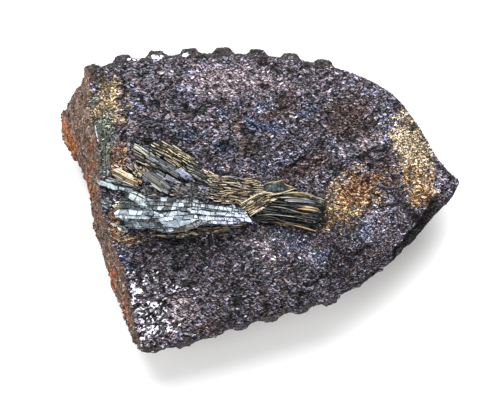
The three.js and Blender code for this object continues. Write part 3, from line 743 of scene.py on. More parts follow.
def bedAt(x, y):
    # height of the upper face without its lumps, at a place read from the middle of the rim
    hit = bedTree.ray_cast(at(x, y, 40.0), Vector((0, 0, -1)))[0]
    return hit.z if hit else 12.0


# Rust on the broken face: centre, reach, turn, strength, raggedness.
breakRust = [((-28.6, 8.4), (0.8, 3.6), -17, 1.0, 0.8), ((-29.8, 12.4), (0.6, 1.2), -10, 0.9, 0.7),
             ((-25.5, 2.0), (0.5, 2.4), -14, 1.0, 0.8), ((-21.9, -11.8), (0.5, 1.8), -16, 0.9, 0.9),
             ((-20.3, -16.6), (0.5, 1.6), -18, 1.0, 0.9), ((-25.2, 7.0), (0.5, 1.4), 0, 0.5, 1.0)]


def makeBreakGroup():
    # streaked brown-grey rock with rust on its outer edge
    given = startGroup("breakColour", Place=None, Tone=0.5)
    place = given["Place"]
    rough = useGroup(given.tree, raggedGroup, Place=place)
    streaks = (place * (2.4, 0.8, 0.8)).noise(1.4, 4.0, 0.7)
    sharp = place.noise(5.0, 3.0, 0.75)
    marks = streaks * 0.5 + sharp * 0.5 + (given["Tone"] - 0.5) * 0.16
    colour = marks.ramp([(0.38, 16, 12, 12), (0.44, 58, 46, 41), (0.52, 96, 79, 70),
                         (0.57, 128, 110, 98), (0.63, 184, 170, 158)])
    reddish = place.noise(0.6, 4.0, 0.65).ranged(0.5, 0.6)
    colour = blend(reddish * 0.6, colour, marks.ramp([(0.4, 22, 15, 14), (0.62, 150, 104, 82)]))
    rustTone = marks.ramp([(0.4, 34, 20, 15), (0.46, 96, 52, 30), (0.53, 158, 88, 46),
                           (0.62, 214, 154, 106)])
    tear = place.noise(0.7, 4.0, 0.7)["Color"] - (0.5, 0.5, 0.5)
    torn = place + tear * (3.0, 14.0, 0.0)
    for patch in breakRust:
        colour = blend(stain(torn, rough, *patch), colour, rustTone)
    return finishGroup(given, Color=colour)


breakGroup = makeBreakGroup()


def makeRockMaterial():
    material, tree, shader = startMaterial("ironstone", specular=0.15)
    place = millimetres(tree)
    # shell back: brown ochre over grey, darker in the furrows
    broad = place.noise(0.22, 5.0, 0.6)
    grit = place.noise(2.6, 4.0, 0.7)
    back = blend(broad.ranged(0.38, 0.62), (84, 72, 66), (120, 98, 78))
    back = blend(grit.ranged(0.45, 0.7), back, (52, 45, 43))
    ochre = place.noise(0.35, 6.0, 0.7).ranged(0.56, 0.66)
    back = blend(ochre * 0.6, back, blend(grit, (110, 64, 36), (176, 118, 70)))
    pitted = place.noise(1.2, 5.0, 0.75).ranged(0.55, 0.64)
    back = blend(pitted * 0.7, back, (46, 40, 40))
    worn = place.noise(0.8, 5.0, 0.75).ranged(0.36, 0.28)
    back = blend(worn * 0.6, back, (150, 138, 124))
    furrow = (attribute(tree, "rib") + broad * 0.4).ranged(0.7, 0.15)
    back = blend(furrow * 0.62, back, (36, 30, 29))
    # the crust's own ground is mottled like its grains, with painted shade toward the edges of its
    # specks and in the furrows, and white in the low corner
    speck = addNode(tree, "ShaderNodeTexVoronoi", {"Vector": place, "Scale": 3.2})
    crust = useGroup(tree, crustGroup, Place=place, Tone=grit.ranged(0.3, 0.7),
                     Pick=speck["Color"], Relief=attribute(tree, "shadeRelief"),
                     Crown=speck["Distance"].ranged(0.7, 0.1, -0.3, 0.35))
    # the dark shell of the rim, which also shows in the gaps beside the crystals as their painted
    # shade
    rimShellAndShade = blend(grit.ranged(0.35, 0.6), (26, 23, 25), (68, 62, 62))
    pale = place.noise(0.9, 3.0, 0.6).ranged(0.62, 0.7)
    rimShellAndShade = blend(pale * 0.6, rimShellAndShade, (136, 130, 126))
    ground = blend(attribute(tree, "grainCover").ranged(0.0, 0.5), rimShellAndShade, crust)
    white = (attribute(tree, "white") + grit * 0.6).ranged(0.62, 0.8)
    ground = blend(white, ground, (232, 232, 238))
    colour = blend(attribute(tree, "topFace"), back, ground)
    colour = blend(attribute(tree, "brokenFace"), colour, useGroup(tree, breakGroup, Place=place))
    height = grit + place.noise(5.0, 3.0, 0.75) * 0.5
    wire(shader, {"Base Color": colour, "Roughness": grit.ranged(0.3, 0.7, 0.6, 0.9),
                  "Normal": bump(height, 0.9, 0.16)})
    return material


grains = {
    "cover": "grainCover",
    "density": 7.3,  # to a square millimetre
    "size": (0.09, 0.25),  # radius
    "shapes": 7,
    "sink": -0.03,
    "long": 1.6,
    "lean": 1.2,  # radians about its length
    "tip": 0.3,
    "spin": 0.8,
    "seed": 4,
}
fines = {
    "cover": "fineCover",
    "density": 6.5,
    "size": (0.06, 0.15),
    "shapes": 6,
    "sink": 0.05,
    "long": 1.8,
    "lean": 1.5,
    "tip": 0.4,
    "spin": 0.7,
    "seed": 17,
}
breakGrit = {
    "cover": "brokenFace",
    "density": 5.0,
    "size": (0.09, 0.30),
    "shapes": 6,
    "sink": 0.0,
    "long": 1.0,
    "lean": 1.5,
    "tip": 1.5,
    "spin": 3.0,
    "seed": 23,
}
glints = {
    "cover": "grainCover",
    "density": 1.6,
    "size": (0.06, 0.14),
    "shapes": 5,
    "sink": 0.13,
    "long": 1.9,
    "lean": 1.5,
    "tip": 0.4,
    "spin": 0.6,
    "seed": 9,
}


def grainShape(name, seed, long):
    # one angular grain, about a millimetre in radius, that knows how high up it is, so that painted
    # shade can darken its lower sides
    bm = bmesh.new()
    rng = random.Random(seed)
    if seed % 2:
        bmesh.ops.create_icosphere(bm, subdivisions=1, radius=1.0)
    else:
        bmesh.ops.create_cube(bm, size=1.5)
    crown = bm.verts.layers.float.new("crown")
    bmesh.ops.rotate(bm, verts=bm.verts, matrix=Matrix.Rotation(rng.uniform(0, 2), 3, "X"))
    for v in bm.verts:
        v.co *= rng.uniform(0.75, 1.12)
        v[crown] = v.co.z
    bmesh.ops.scale(bm, vec=(long, rng.uniform(0.48, 0.75), rng.uniform(0.6, 0.9)), verts=bm.verts)
    bmesh.ops.triangulate(bm, faces=bm.faces)
    return meshObject(name, bm)


def randomNumber(tree, seed):
    return addNode(tree, "FunctionNodeRandomValue", {2: 0.0, 3: 1.0, "Seed": seed},
                   data_type="FLOAT")[1]


def scatterTree(name, shapes, spec):
    # grains stand on the rock where its cover is on, each with a tone and a pick
    tree = bpy.data.node_groups.new(name, "GeometryNodeTree")
    for way in ("INPUT", "OUTPUT"):
        tree.interface.new_socket("Geometry", in_out=way, socket_type="NodeSocketGeometry")
    ground = Field(tree.nodes.new("NodeGroupInput"))
    seed, lean, tip, spin = (spec[key] for key in ("seed", "lean", "tip", "spin"))
    small, large = spec["size"]
    cover, size = (addNode(tree, "GeometryNodeInputNamedAttribute", {"Name": key},
                           data_type="FLOAT")["Attribute"] for key in (spec["cover"], "grainSize"))
    points = addNode(tree, "GeometryNodeDistributePointsOnFaces",
                     {"Mesh": ground, "Seed": seed, "Density": cover * spec["density"]})
    choices = addNode(tree, "GeometryNodeGeometryToInstance")
    for shape in reversed(shapes):
        info = addNode(tree, "GeometryNodeObjectInfo", {"Object": shape})
        wire(choices.node, {0: info["Geometry"]})
    turn = addNode(tree, "FunctionNodeRandomValue",
                   {0: (-lean, -tip, -spin), 1: (lean, tip, spin), "Seed": seed + 1},
                   data_type="FLOAT_VECTOR")
    upright = addNode(tree, "FunctionNodeAlignRotationToVector", {"Vector": points["Normal"]},
                      axis="Z")
    standing = addNode(tree, "FunctionNodeRotateRotation", {"Rotation": upright, "Rotate By": turn},
                       rotation_space="LOCAL")
    few = addMath("POWER", randomNumber(tree, seed + 2), 1.8)
    radius = addNode(tree, "ShaderNodeMath", {0: few, 1: large - small, 2: small},
                     operation="MULTIPLY_ADD")
    placed = addNode(tree, "GeometryNodeInstanceOnPoints",
                     {"Points": points, "Instance": choices, "Pick Instance": True,
                      "Rotation": standing, "Scale": radius * size})
    for k, label in enumerate(("tone", "pick"), start=3):
        placed = addNode(tree, "GeometryNodeStoreNamedAttribute",
                         {"Geometry": placed, "Name": label, "Value": randomNumber(tree, seed + k)},
                         data_type="FLOAT", domain="INSTANCE")
    lifted = addNode(tree, "GeometryNodeTranslateInstances",
                     {"Instances": placed, "Translation": (0, 0, spec["sink"]),
                      "Local Space": False})
    real = addNode(tree, "GeometryNodeRealizeInstances", {0: lifted})
    wire(tree.nodes.new("NodeGroupOutput"), {0: real})
    return tree


def scatterGrains(name, spec):
    shapes = [grainShape(f"{name}Shape{k}", spec["seed"] * 31 + k, spec["long"])
              for k in range(spec["shapes"])]
    piece = linkObject(name, rockPiece.data.copy())
    modifier = piece.modifiers.new("scatter", "NODES")
    modifier.node_group = scatterTree(name + "Scatter", shapes, spec)
    applyModifiers(piece)
    for shape in shapes:
        bpy.data.objects.remove(shape)
    return piece


def makeCrustMaterial(name, gloss, lift):
    material, tree, shader = startMaterial(name, specular=0.35)
    tone = attribute(tree, "tone")
    crust = useGroup(tree, crustGroup, Place=millimetres(tree), Tone=tone,
                     Pick=attribute(tree, "pick"), Crown=attribute(tree, "crown"),
                     Relief=attribute(tree, "shadeRelief"))
    # lift mixes the colour toward pale lilac; on the glints this is a painted highlight
    wire(shader, {"Base Color": blend(lift, crust, (214, 208, 226)),
                  "Roughness": crust["Warm"].ranged(0.0, 1.0, gloss, 0.6) + (tone - 0.5) * 0.3})
    return material


def makeGritMaterial():
    material, tree, shader = startMaterial("breakGrit", specular=0.2, roughness=0.7)
    wire(shader, {"Base Color": useGroup(tree, breakGroup, Place=millimetres(tree),
                                         Tone=attribute(tree, "tone"))})
    return material


grainMaterial = makeCrustMaterial("crustGrain", 0.45, 0.0)
pieces = [("crust_grains", grains, grainMaterial), ("crust_fines", fines, grainMaterial),
          # the glints' lift of 0.04 is a painted highlight
          ("crust_glints", glints, makeCrustMaterial("crustGlint", 0.28, 0.04)),
          ("break_grit", breakGrit, makeGritMaterial())]
scattered = [(scatterGrains(name, spec), material) for name, spec, material in pieces]
finishPiece(rockPiece, makeRockMaterial(), "ironstone", "matrix")
for piece, material in scattered:
    finishPiece(piece, material, "ironstone")


lathShares = (0.0, 0.14, 0.5, 0.86, 1.0)
ringShapes = {}


def turnAbout(axis, degrees, size=3):
    return Matrix.Rotation(math.radians(degrees), size, axis)


def partsOf(kind, geometry):
    return [part for part in geometry if isinstance(part, kind)]


def ringShape(count, flat):
    # a six-sided bar along X with a ring at every millimetre, flat side or crest up
    if (count, flat) not in ringShapes:
        bm = bmesh.new()
        bmesh.ops.create_circle(bm, cap_ends=True, segments=6, radius=0.5)
        if flat:
            bmesh.ops.rotate(bm, verts=bm.verts, matrix=turnAbout("Z", 30))
        bmesh.ops.rotate(bm, verts=bm.verts, matrix=turnAbout("Y", 90))
        cap = bm.faces[:]
        for step in range(count - 1):
            grown = bmesh.ops.extrude_face_region(bm, geom=cap)["geom"]
            cap = partsOf(bmesh.types.BMFace, grown)
            bmesh.ops.translate(bm, vec=(1, 0, 0), verts=partsOf(bmesh.types.BMVert, grown))
        bmesh.ops.recalc_face_normals(bm, faces=bm.faces)
        bm.verts.layers.float.new("tone")
        bm.verts.layers.float_vector.new("along")
        mesh = bpy.data.meshes.new("ring")
        bm.to_mesh(mesh)
        bm.free()
        ringShapes[count, flat] = mesh, [v.co.copy() for v in mesh.vertices]
    return ringShapes[count, flat]


def spanOf(points):
    us, vs = zip(*points)
    return min(us), max(us), min(vs), max(vs)


class Sheaf:
    # gathers the laths and blocks of one crystal group in one mesh

    def __init__(self, seed):
        self.bm = bmesh.new()
        self.bm.verts.layers.float.new("tone")
        self.bm.verts.layers.float_vector.new("along")
        self.rng = random.Random(seed)

    def ownPlace(self):
        # where a lath's lines start, so that no two are lined alike
        return Vector([self.rng.uniform(0, 90) for axis in "xyz"])

    def ribbon(self, places, widths, depth, roll, tone, flat):
        # a six-sided bar through a few places, its top at their height
        mesh, unit = ringShape(len(places), flat)
        top = max(co.z for co in unit)
        own = self.ownPlace()
        turns, reached = [], [0.0]
        for k, place in enumerate(places):
            ahead = places[min(k + 1, len(places) - 1)]
            x = (ahead - places[max(k - 1, 0)]).normalized()
            y = Vector((0, 0, 1)).cross(x).normalized()
            turns.append(Matrix((x, y, x.cross(y))).transposed() @ turnAbout("X", roll))
            reached.append(reached[-1] + (ahead - place).length)
        corners, lines = [], []
        for co in unit:
            k = round(co.x)
            off = Vector((0, co.y * widths[k], (co.z - top) * depth))
            corners.extend(places[k] + turns[k] @ off)
            lines.extend(own + off + Vector((reached[k], 0, 0)))
        mesh.vertices.foreach_set("co", corners)
        mesh.attributes["along"].data.foreach_set("vector", lines)
        mesh.attributes["tone"].data.foreach_set("value", [tone] * len(unit))
        self.bm.from_mesh(mesh)

    def lath(self, start, end, width, depth, roll, tone, tips=(0.2, 0.8), bend=0.03, flat=False):
        # a bar that narrows at both ends and bows a little to one side
        rng = self.rng
        run = end - start
        bow = Vector((-run.y, run.x, 0)) * rng.uniform(-bend, bend)
        places = [start.lerp(end, share) + bow * 4 * share * (1 - share) for share in lathShares]
        shares = rng.uniform(*tips), 0.88, 1.0, 0.88, rng.uniform(*tips)
        widths = [width * share for share in shares]
        for tip in (places[0], places[-1]):
            tip.z -= depth * 0.12
        self.ribbon(places, widths, depth, roll, tone, flat)

    def strand(self, line, width, lift, tone, depth=0.45, hump=0.1, steps=3):
        # one long curved lath through places read from the middle of the rim
        points = [Vector(p) for p in line]
        points = [2 * points[0] - points[1]] + points + [2 * points[-1] - points[-2]]
        curve = []
        for a, b, c, d in zip(points, points[1:], points[2:], points[3:]):
            for k in range(steps):
                t = k / steps
                curve.append(0.5 * (2 * b + (c - a) * t + (2 * a - 5 * b + 4 * c - d) * t * t
                                    + (3 * b - a - 3 * c + d) * t ** 3))
        curve.append(points[-2])
        places, widths = [], []
        for k, p in enumerate(curve):
            full = math.sin(math.pi * mix(0.06, 0.94, k / (len(curve) - 1))) ** 0.6
            places.append(at(p.x, p.y, bedAt(p.x, p.y) + lift + hump * (full - 1)))
            widths.append(width * full)
        self.ribbon(places, widths, depth, self.rng.uniform(-10, 10), tone, False)

    def rows(self, outline, angle, pitch, lift, lengths, tones, width=1.15, depth=0.6, uneven=0.12,
             roll=14.0, yaw=2.0, ragged=0.25, gap=0.08, crest=0.0, density=1.0, sway=0.0, **form):
        # rows of laths that fill an outline, all turned by about the same angle
        rng = self.rng
        flat = turned(outline, -angle)
        lowU, highU, lowV, highV = spanOf(flat)
        v = lowV + pitch * rng.uniform(0.2, 0.6)
        while v < highV:
            hump = crest * math.sin(math.pi * ((v - lowV) / (highV - lowV)))
            for first, last in crossings(flat, v):
                u = first + rng.uniform(-ragged, ragged)
                while u < last - 0.15:
                    run = rng.uniform(*lengths)
                    stop = min(u + run, last + rng.uniform(-ragged, ragged))
                    if stop - u > 0.15 and rng.random() < density:
                        drift = math.tan(math.radians(rng.uniform(-yaw, yaw))) * (stop - u) / 2
                        rise = hump + rng.uniform(-1, 1) * uneven
                        line = turned([(u, v - drift), (stop - gap, v + drift)], angle)
                        ends = []
                        for (x, y), place in zip(line, (u, stop)):
                            pull = noise.noise_vector(Vector((x, y, 0)) * 0.55) * sway
                            x, y = x + pull.x * 0.4, y + pull.y
                            height = mix(*lift, (place - lowU) / (highU - lowU))
                            ends.append(at(x, y, bedAt(x, y) + height + rise))
                        self.lath(*ends, pitch * width * rng.uniform(0.75, 1.25),
                                  depth * rng.uniform(0.8, 1.2), rng.uniform(-roll, roll),
                                  rng.uniform(*tones), **form)
                    u = stop + rng.uniform(0, gap)
            v += pitch * rng.uniform(0.8, 1.2)

    def cells(self, outline, angle, lengths, widths, lift, depth, tones, gap=0.06, uneven=0.09,
              tilt=4.5, skew=26.0, bevel=0.02):
        # an outlined strip broken into blocks that lean a little from each other
        rng = self.rng
        flat = turned(frayed(outline, 0.4, 0.1, rng), -angle)
        lowU, highU, lowV, highV = spanOf(flat)
        v = lowV
        while v < highV - 0.1:
            wide = min(rng.uniform(*widths), highV - v)
            u, slant = lowU - rng.random() * lengths[0], rng.uniform(-skew, skew)
            while u < highU:
                run, then = rng.uniform(*lengths), rng.uniform(-skew, skew)
                height = mix(*lift, smooth(lowU, highU, u))
                self.cell(flat, angle, (u, u + run), (v, v + wide), (slant, then),
                          gap * rng.uniform(0.3, 1.6), height + rng.uniform(-1, 1) * uneven, depth,
                          rng.uniform(-tilt, tilt), rng.uniform(-tilt, tilt), rng.uniform(*tones),
                          bevel)
                u, slant = u + run, then
            v += wide

    def cell(self, flat, angle, us, vs, slants, gap, lift, depth, tiltX, tiltY, tone, bevel):
        # one block: the strip's outline cut on four sides, then given its depth
        bm = bmesh.new()
        bm.faces.new([bm.verts.new((u, v, 0)) for u, v in flat])
        cuts = []
        for u, slant, side in zip(us, slants, (-1, 1)):
            normal = turnAbout("Z", slant) @ Vector((side, 0, 0))
            cuts.append((Vector((u, sum(vs) / 2, 0)) - normal * gap / 3, normal))
        for v, side in zip(vs, (-1, 1)):
            normal = Vector((self.rng.uniform(-0.11, 0.11), side, 0))
            cuts.append((Vector((sum(us) / 2, v, 0)) - normal * gap / 2, normal))
        for place, normal in cuts:
            bmesh.ops.bisect_plane(bm, geom=bm.verts[:] + bm.edges[:] + bm.faces[:], plane_co=place,
                                   plane_no=normal, clear_outer=True)
        if sum(face.calc_area() for face in bm.faces) < 0.03:
            bm.free()
            return
        lower = bmesh.ops.extrude_face_region(bm, geom=bm.faces[:])["geom"]
        bmesh.ops.translate(bm, vec=(0, 0, -depth), verts=partsOf(bmesh.types.BMVert, lower))
        bmesh.ops.recalc_face_normals(bm, faces=bm.faces)
        bmesh.ops.bevel(bm, geom=[e for e in bm.edges if all(v.co.z > -0.01 for v in e.verts)],
                        offset=bevel, segments=1, profile=0.5, affect="EDGES", material=-1)
        bmesh.ops.triangulate(bm, faces=[f for f in bm.faces if len(f.verts) > 4])
        toneLayer = bm.verts.layers.float.new("tone")
        alongLayer = bm.verts.layers.float_vector.new("along")
        own = self.ownPlace()
        centre = sum((v.co for v in bm.verts), Vector()) / len(bm.verts)
        centre.z = 0
        for v in bm.verts:
            v[toneLayer] = tone
            v[alongLayer] = v.co + own
        (x, y), = turned([(centre.x, centre.y)], angle)
        lean = turnAbout("X", tiltX, 4) @ turnAbout("Y", tiltY, 4)
        move = (Matrix.Translation(at(x, y, bedAt(x, y) + lift))
                @ turnAbout("Z", angle, 4) @ lean @ Matrix.Translation(-centre))
        bmesh.ops.transform(bm, matrix=move, verts=bm.verts)
        part = bpy.data.meshes.new("part")
        bm.to_mesh(part)
        bm.free()
        self.bm.from_mesh(part)
        bpy.data.meshes.remove(part)


def makeCrystalMaterial(name, stops, lines, cracks, roughness, crackDepth=0.8, wide=0.05,
                        blotch=0.3, shine=0.6, stains=()):
    # laths coloured by their own tone, lined along, blotched and cracked across
    material, tree, shader = startMaterial(name, specular=shine)
    place = millimetres(tree)
    marks = useGroup(tree, cleavageGroup, Along=attribute(tree, "along", "Vector"), Lines=lines,
                     Cracks=cracks, Wide=wide)
    worn = marks["Lines"] - 0.5 + (place.noise(1.5, 3.0, 0.65) - 0.5) * blotch
    level = attribute(tree, "tone") + worn
    colour = level.ramp(stops)
    rough = useGroup(tree, raggedGroup, Place=place)
    for centre, reach, turn, tint, strength, ragged in stains:
        tinted = dimmed(tint, level.ranged(0.1, 1.0, 0.12, 1.36))
        colour = blend(stain(place, rough, centre, reach, turn, strength, ragged), colour, tinted)
    colour = blend(marks["Cracks"] * crackDepth, colour, (12, 14, 16))
    dull = marks["Lines"].ranged(0.2, 0.8, roughness - 0.08, roughness + 0.15)
    wire(shader, {"Base Color": colour, "Roughness": dull,
                  "Normal": bump(marks["Height"], 0.6, 0.05)})
    return material


def growCrystals(name, spec, *nodes):
    sheaf = Sheaf(spec["seed"])
    for way, form in (("cells", sheaf.cells), ("rows", sheaf.rows), ("strands", sheaf.strand)):
        for *values, named in spec.get(way, []):
            form(*values, **named)
    material = makeCrystalMaterial(*spec["finish"], **spec["look"], stains=spec["stains"])
    finishPiece(meshObject(name, sheaf.bm), material, spec["slot"], *nodes)


strawStops = [(0.0, 8, 8, 9), (0.26, 24, 23, 24), (0.44, 84, 78, 70), (0.64, 146, 137, 118),
              (0.84, 190, 178, 148), (1.0, 228, 222, 206)]
steelStops = [(0.0, 14, 15, 18), (0.35, 62, 66, 74), (0.65, 110, 114, 124), (0.85, 150, 156, 156),
              (1.0, 196, 200, 200)]
# the pale top of the silver ramp is the crystals' own pale blue-grey, lifted further as a painted
# reflection of the sheen on their cleavage faces
silverStops = [(0.0, 6, 8, 10), (0.25, 32, 38, 44), (0.45, 78, 88, 96), (0.65, 124, 137, 148),
               (0.85, 172, 183, 194), (1.0, 212, 216, 226)]
goldStops = [(0.0, 26, 23, 20), (0.35, 88, 76, 56), (0.6, 156, 134, 100), (0.85, 206, 188, 154),
             (1.0, 228, 218, 198)]
brownStops = [(0.0, 8, 7, 8), (0.26, 28, 24, 23), (0.44, 90, 78, 62), (0.66, 150, 131, 102),
              (0.86, 194, 180, 150), (1.0, 226, 218, 200)]
darkStops = [(0.0, 1, 1, 1), (0.5, 4, 4, 5), (0.68, 18, 19, 20), (0.82, 80, 80, 78),
             (0.91, 138, 134, 122), (1.0, 198, 194, 178)]
rubbleStops = [(0.0, 6, 6, 8), (0.35, 34, 33, 36), (0.6, 80, 80, 86), (0.82, 124, 120, 116),
               (1.0, 200, 200, 200)]
greenStops = [(0.0, 22, 26, 24), (0.4, 70, 80, 70), (0.7, 116, 124, 98), (1.0, 170, 162, 120)]
tealStops = [(0.0, 8, 12, 14), (0.4, 24, 34, 38), (0.7, 58, 76, 78), (1.0, 140, 146, 130)]


# Each crystal group is grown from cells, rows and strands. A cell strip has its
# outline, angle, lengths, widths, lift at both ends, depth and tones. A row has
# its outline, angle, pitch, lift at both ends, lengths and tones. A strand has
# its line, width, lift and tone. The last value holds what differs from the usual.
# A stain has its centre, reach, turn, colour, strength and raggedness.

# The first row of most groups, and the first cells of the band, form a deep bed of near-black laths
# and blocks: painted shade that shows in the gaps between the laths above them.
strawFan, underFan, longBlade = beds["strawFan"], beds["underFan"], beds["longBlade"]
strawLaths = {
    "seed": 11,
    "rows": [
        (strawFan, -29, 0.55, (0.7, 0.6), (1.6, 3.2), (0.0, 0.12),
         dict(depth=1.5, crest=0.3, flat=True, ragged=0.1)),
        (strawFan, -30, 0.19, (1.1, 0.95), (0.7, 2.6), (-0.25, 0.92),
         dict(width=0.76, depth=0.45, uneven=0.11, crest=0.35, yaw=5, sway=0.3, ragged=0.16,
              tips=(0.25, 0.7), roll=22)),
        (strawFan, -28, 0.36, (1.3, 1.12), (0.4, 1.3), (0.6, 1.02),
         dict(width=0.36, depth=0.3, uneven=0.12, crest=0.35, density=0.55, yaw=9, sway=0.3,
              ragged=0.0, tips=(0.1, 0.4), roll=24)),
        (underFan, -31, 0.5, (0.5, 0.5), (1.2, 2.6), (0.0, 0.12), dict(depth=1.2)),
        (underFan, -30, 0.18, (0.9, 0.85), (0.8, 2.6), (-0.25, 0.92),
         dict(width=0.78, depth=0.5, uneven=0.1, yaw=5, tips=(0.25, 0.7), roll=20)),
        (beds["fibres"], -48, 0.17, (0.6, 0.7), (0.4, 1.2), (0.2, 0.9),
         dict(depth=0.4, yaw=12, tips=(0.1, 0.5)))],
    "stains": [((-12.6, 6.9), (3.2, 1.1), 29, (186, 168, 122), 0.4, 0.9),
               ((-17.8, 7.0), (1.6, 1.2), 30, (148, 132, 90), 0.35, 0.8),
               ((-17.6, 4.3), (1.6, 0.9), 40, (160, 134, 94), 0.4, 0.8),
               ((-9.6, 4.0), (2.2, 1.2), 30, (104, 108, 108), 0.8, 0.9)],
    "finish": ("strawCrystal", strawStops, 7.0, 0.8, 0.38),
    "look": dict(crackDepth=0.7),
    "slot": "straw_crystal",
}
growCrystals("straw_laths", strawLaths, "straw_fan")

longBladeLaths = {
    "seed": 12,
    "rows": [
        (longBlade, -32, 0.5, (1.2, 1.3), (3.0, 6.0), (0.0, 0.3), dict(depth=1.2, ragged=0.1)),
        (longBlade, -31, 0.24, (1.5, 1.6), (1.0, 3.2), (0.3, 0.92),
         dict(depth=0.5, uneven=0.1, roll=12, ragged=0.2, flat=True))],
    "stains": [((-17.6, 7.6), (1.8, 0.8), 30, (172, 172, 156), 0.6, 0.6),
               ((-11.0, 3.8), (1.6, 0.9), 32, (136, 142, 168), 0.7, 0.6)],
    "finish": ("longBlade", steelStops, 6.0, 0.8, 0.3),
    "look": dict(crackDepth=0.6, blotch=0.6),
    "slot": "grey_crystal",
}
growCrystals("long_blade", longBladeLaths)

greyLaths = {
    "seed": 21,
    "rows": [
        (beds["greyBlade"], -35, 0.6, (0.9, 0.9), (3.0, 5.5), (0.0, 0.3),
         dict(depth=1.3, ragged=0.1)),
        (beds["greyBlade"], -35, 0.3, (1.15, 1.15), (2.4, 5.0), (0.36, 0.62),
         dict(width=1.3, depth=0.5, uneven=0.03, roll=5, yaw=1, ragged=0.1, flat=True,
              tips=(0.5, 0.95))),
        ([(-16.4, 2.1), (-15.9, 2.4), (-13.5, 1.1), (-13.7, 0.8)], -33, 0.2, (1.3, 1.25),
         (1.4, 2.6), (0.62, 0.86), dict(depth=0.3)),
        (beds["greyStrip"], -26, 0.24, (0.8, 0.9), (0.6, 2.0), (0.1, 0.9),
         dict(depth=0.7, yaw=6, sway=0.2))],
    "stains": [((-15.4, 2.8), (2.0, 0.9), 35, (150, 146, 130), 0.6, 0.6),
               ((-17.1, 3.5), (0.7, 0.5), 35, (150, 148, 166), 0.7, 0.5),
               ((-13.2, 3.1), (1.4, 0.4), 26, (160, 158, 174), 0.5, 0.5)],
    "finish": ("greyBlade", steelStops, 11.0, 2.4, 0.36),
    "look": dict(crackDepth=0.5, wide=0.07),
    "slot": "grey_crystal",
}
growCrystals("grey_laths", greyLaths, "grey_blade")

darkRubble = {
    "seed": 22,
    "cells": [(beds["rubble"], -20, (0.3, 0.9), (0.25, 0.55), (0.35, 0.45), 0.9, (0.0, 0.6),
               dict(uneven=0.18, tilt=20, skew=34, bevel=0.03))],
    "rows": [(beds["rubble"], -18, 0.3, (0.55, 0.65), (0.3, 1.2), (0.1, 0.95),
              dict(width=0.7, depth=0.5, uneven=0.2, yaw=30, density=0.7, sway=0.3,
                   tips=(0.2, 0.7), roll=30))],
    "stains": [((-11.7, 2.3), (0.5, 0.3), 20, (178, 140, 88), 0.7, 0.6),
               ((-12.3, 1.0), (1.2, 0.4), -15, (120, 90, 56), 0.6, 0.8),
               ((-10.6, 2.25), (0.4, 0.3), 20, (236, 236, 236), 1.0, 0.3),
               ((-8.0, 1.8), (1.5, 0.35), 0, (140, 144, 170), 0.8, 0.5)],
    "finish": ("darkRubble", rubbleStops, 6.0, 1.2, 0.4),
    "look": dict(crackDepth=0.6, blotch=0.6),
    "slot": "dark_crystal",
}
growCrystals("dark_rubble", darkRubble)

goldenLaths = {
    "seed": 31,
    "rows": [
        (beds["goldenBlade"], -25, 0.5, (0.6, 0.8), (2.0, 4.0), (0.0, 0.3),
         dict(depth=0.9, ragged=0.1)),
        (beds["goldenBlade"], -24, 0.26, (0.9, 1.05), (1.0, 3.2), (0.2, 0.9),
         dict(depth=0.5, ragged=0.15, yaw=3, sway=0.15)),
        ([(-21.4, 4.3), (-21.2, 4.6), (-18.7, 3.5), (-18.8, 3.1)], -24, 0.26, (1.15, 1.25),
         (1.4, 3.0), (0.8, 0.97), dict(depth=0.3)),
        ([(-21.6, 5.0), (-21.3, 5.3), (-20.5, 4.8), (-20.7, 4.5)], -30, 0.25, (0.7, 0.8),
         (0.6, 1.2), (0.8, 1.0), dict(depth=0.4))],
    "stains": [((-20.9, 3.6), (1.3, 0.35), 25, (70, 74, 56), 0.85, 0.4),
               ((-18.3, 2.7), (0.9, 0.6), 0, (150, 112, 74), 0.5, 0.6),
               ((-21.1, 4.9), (0.7, 0.4), 30, (160, 162, 154), 0.8, 0.4)],
    "finish": ("goldenBlade", goldStops, 7.0, 0.7, 0.4),
    "look": dict(crackDepth=0.5),
    "slot": "golden_crystal",
}
growCrystals("golden_laths", goldenLaths, "golden_blade")

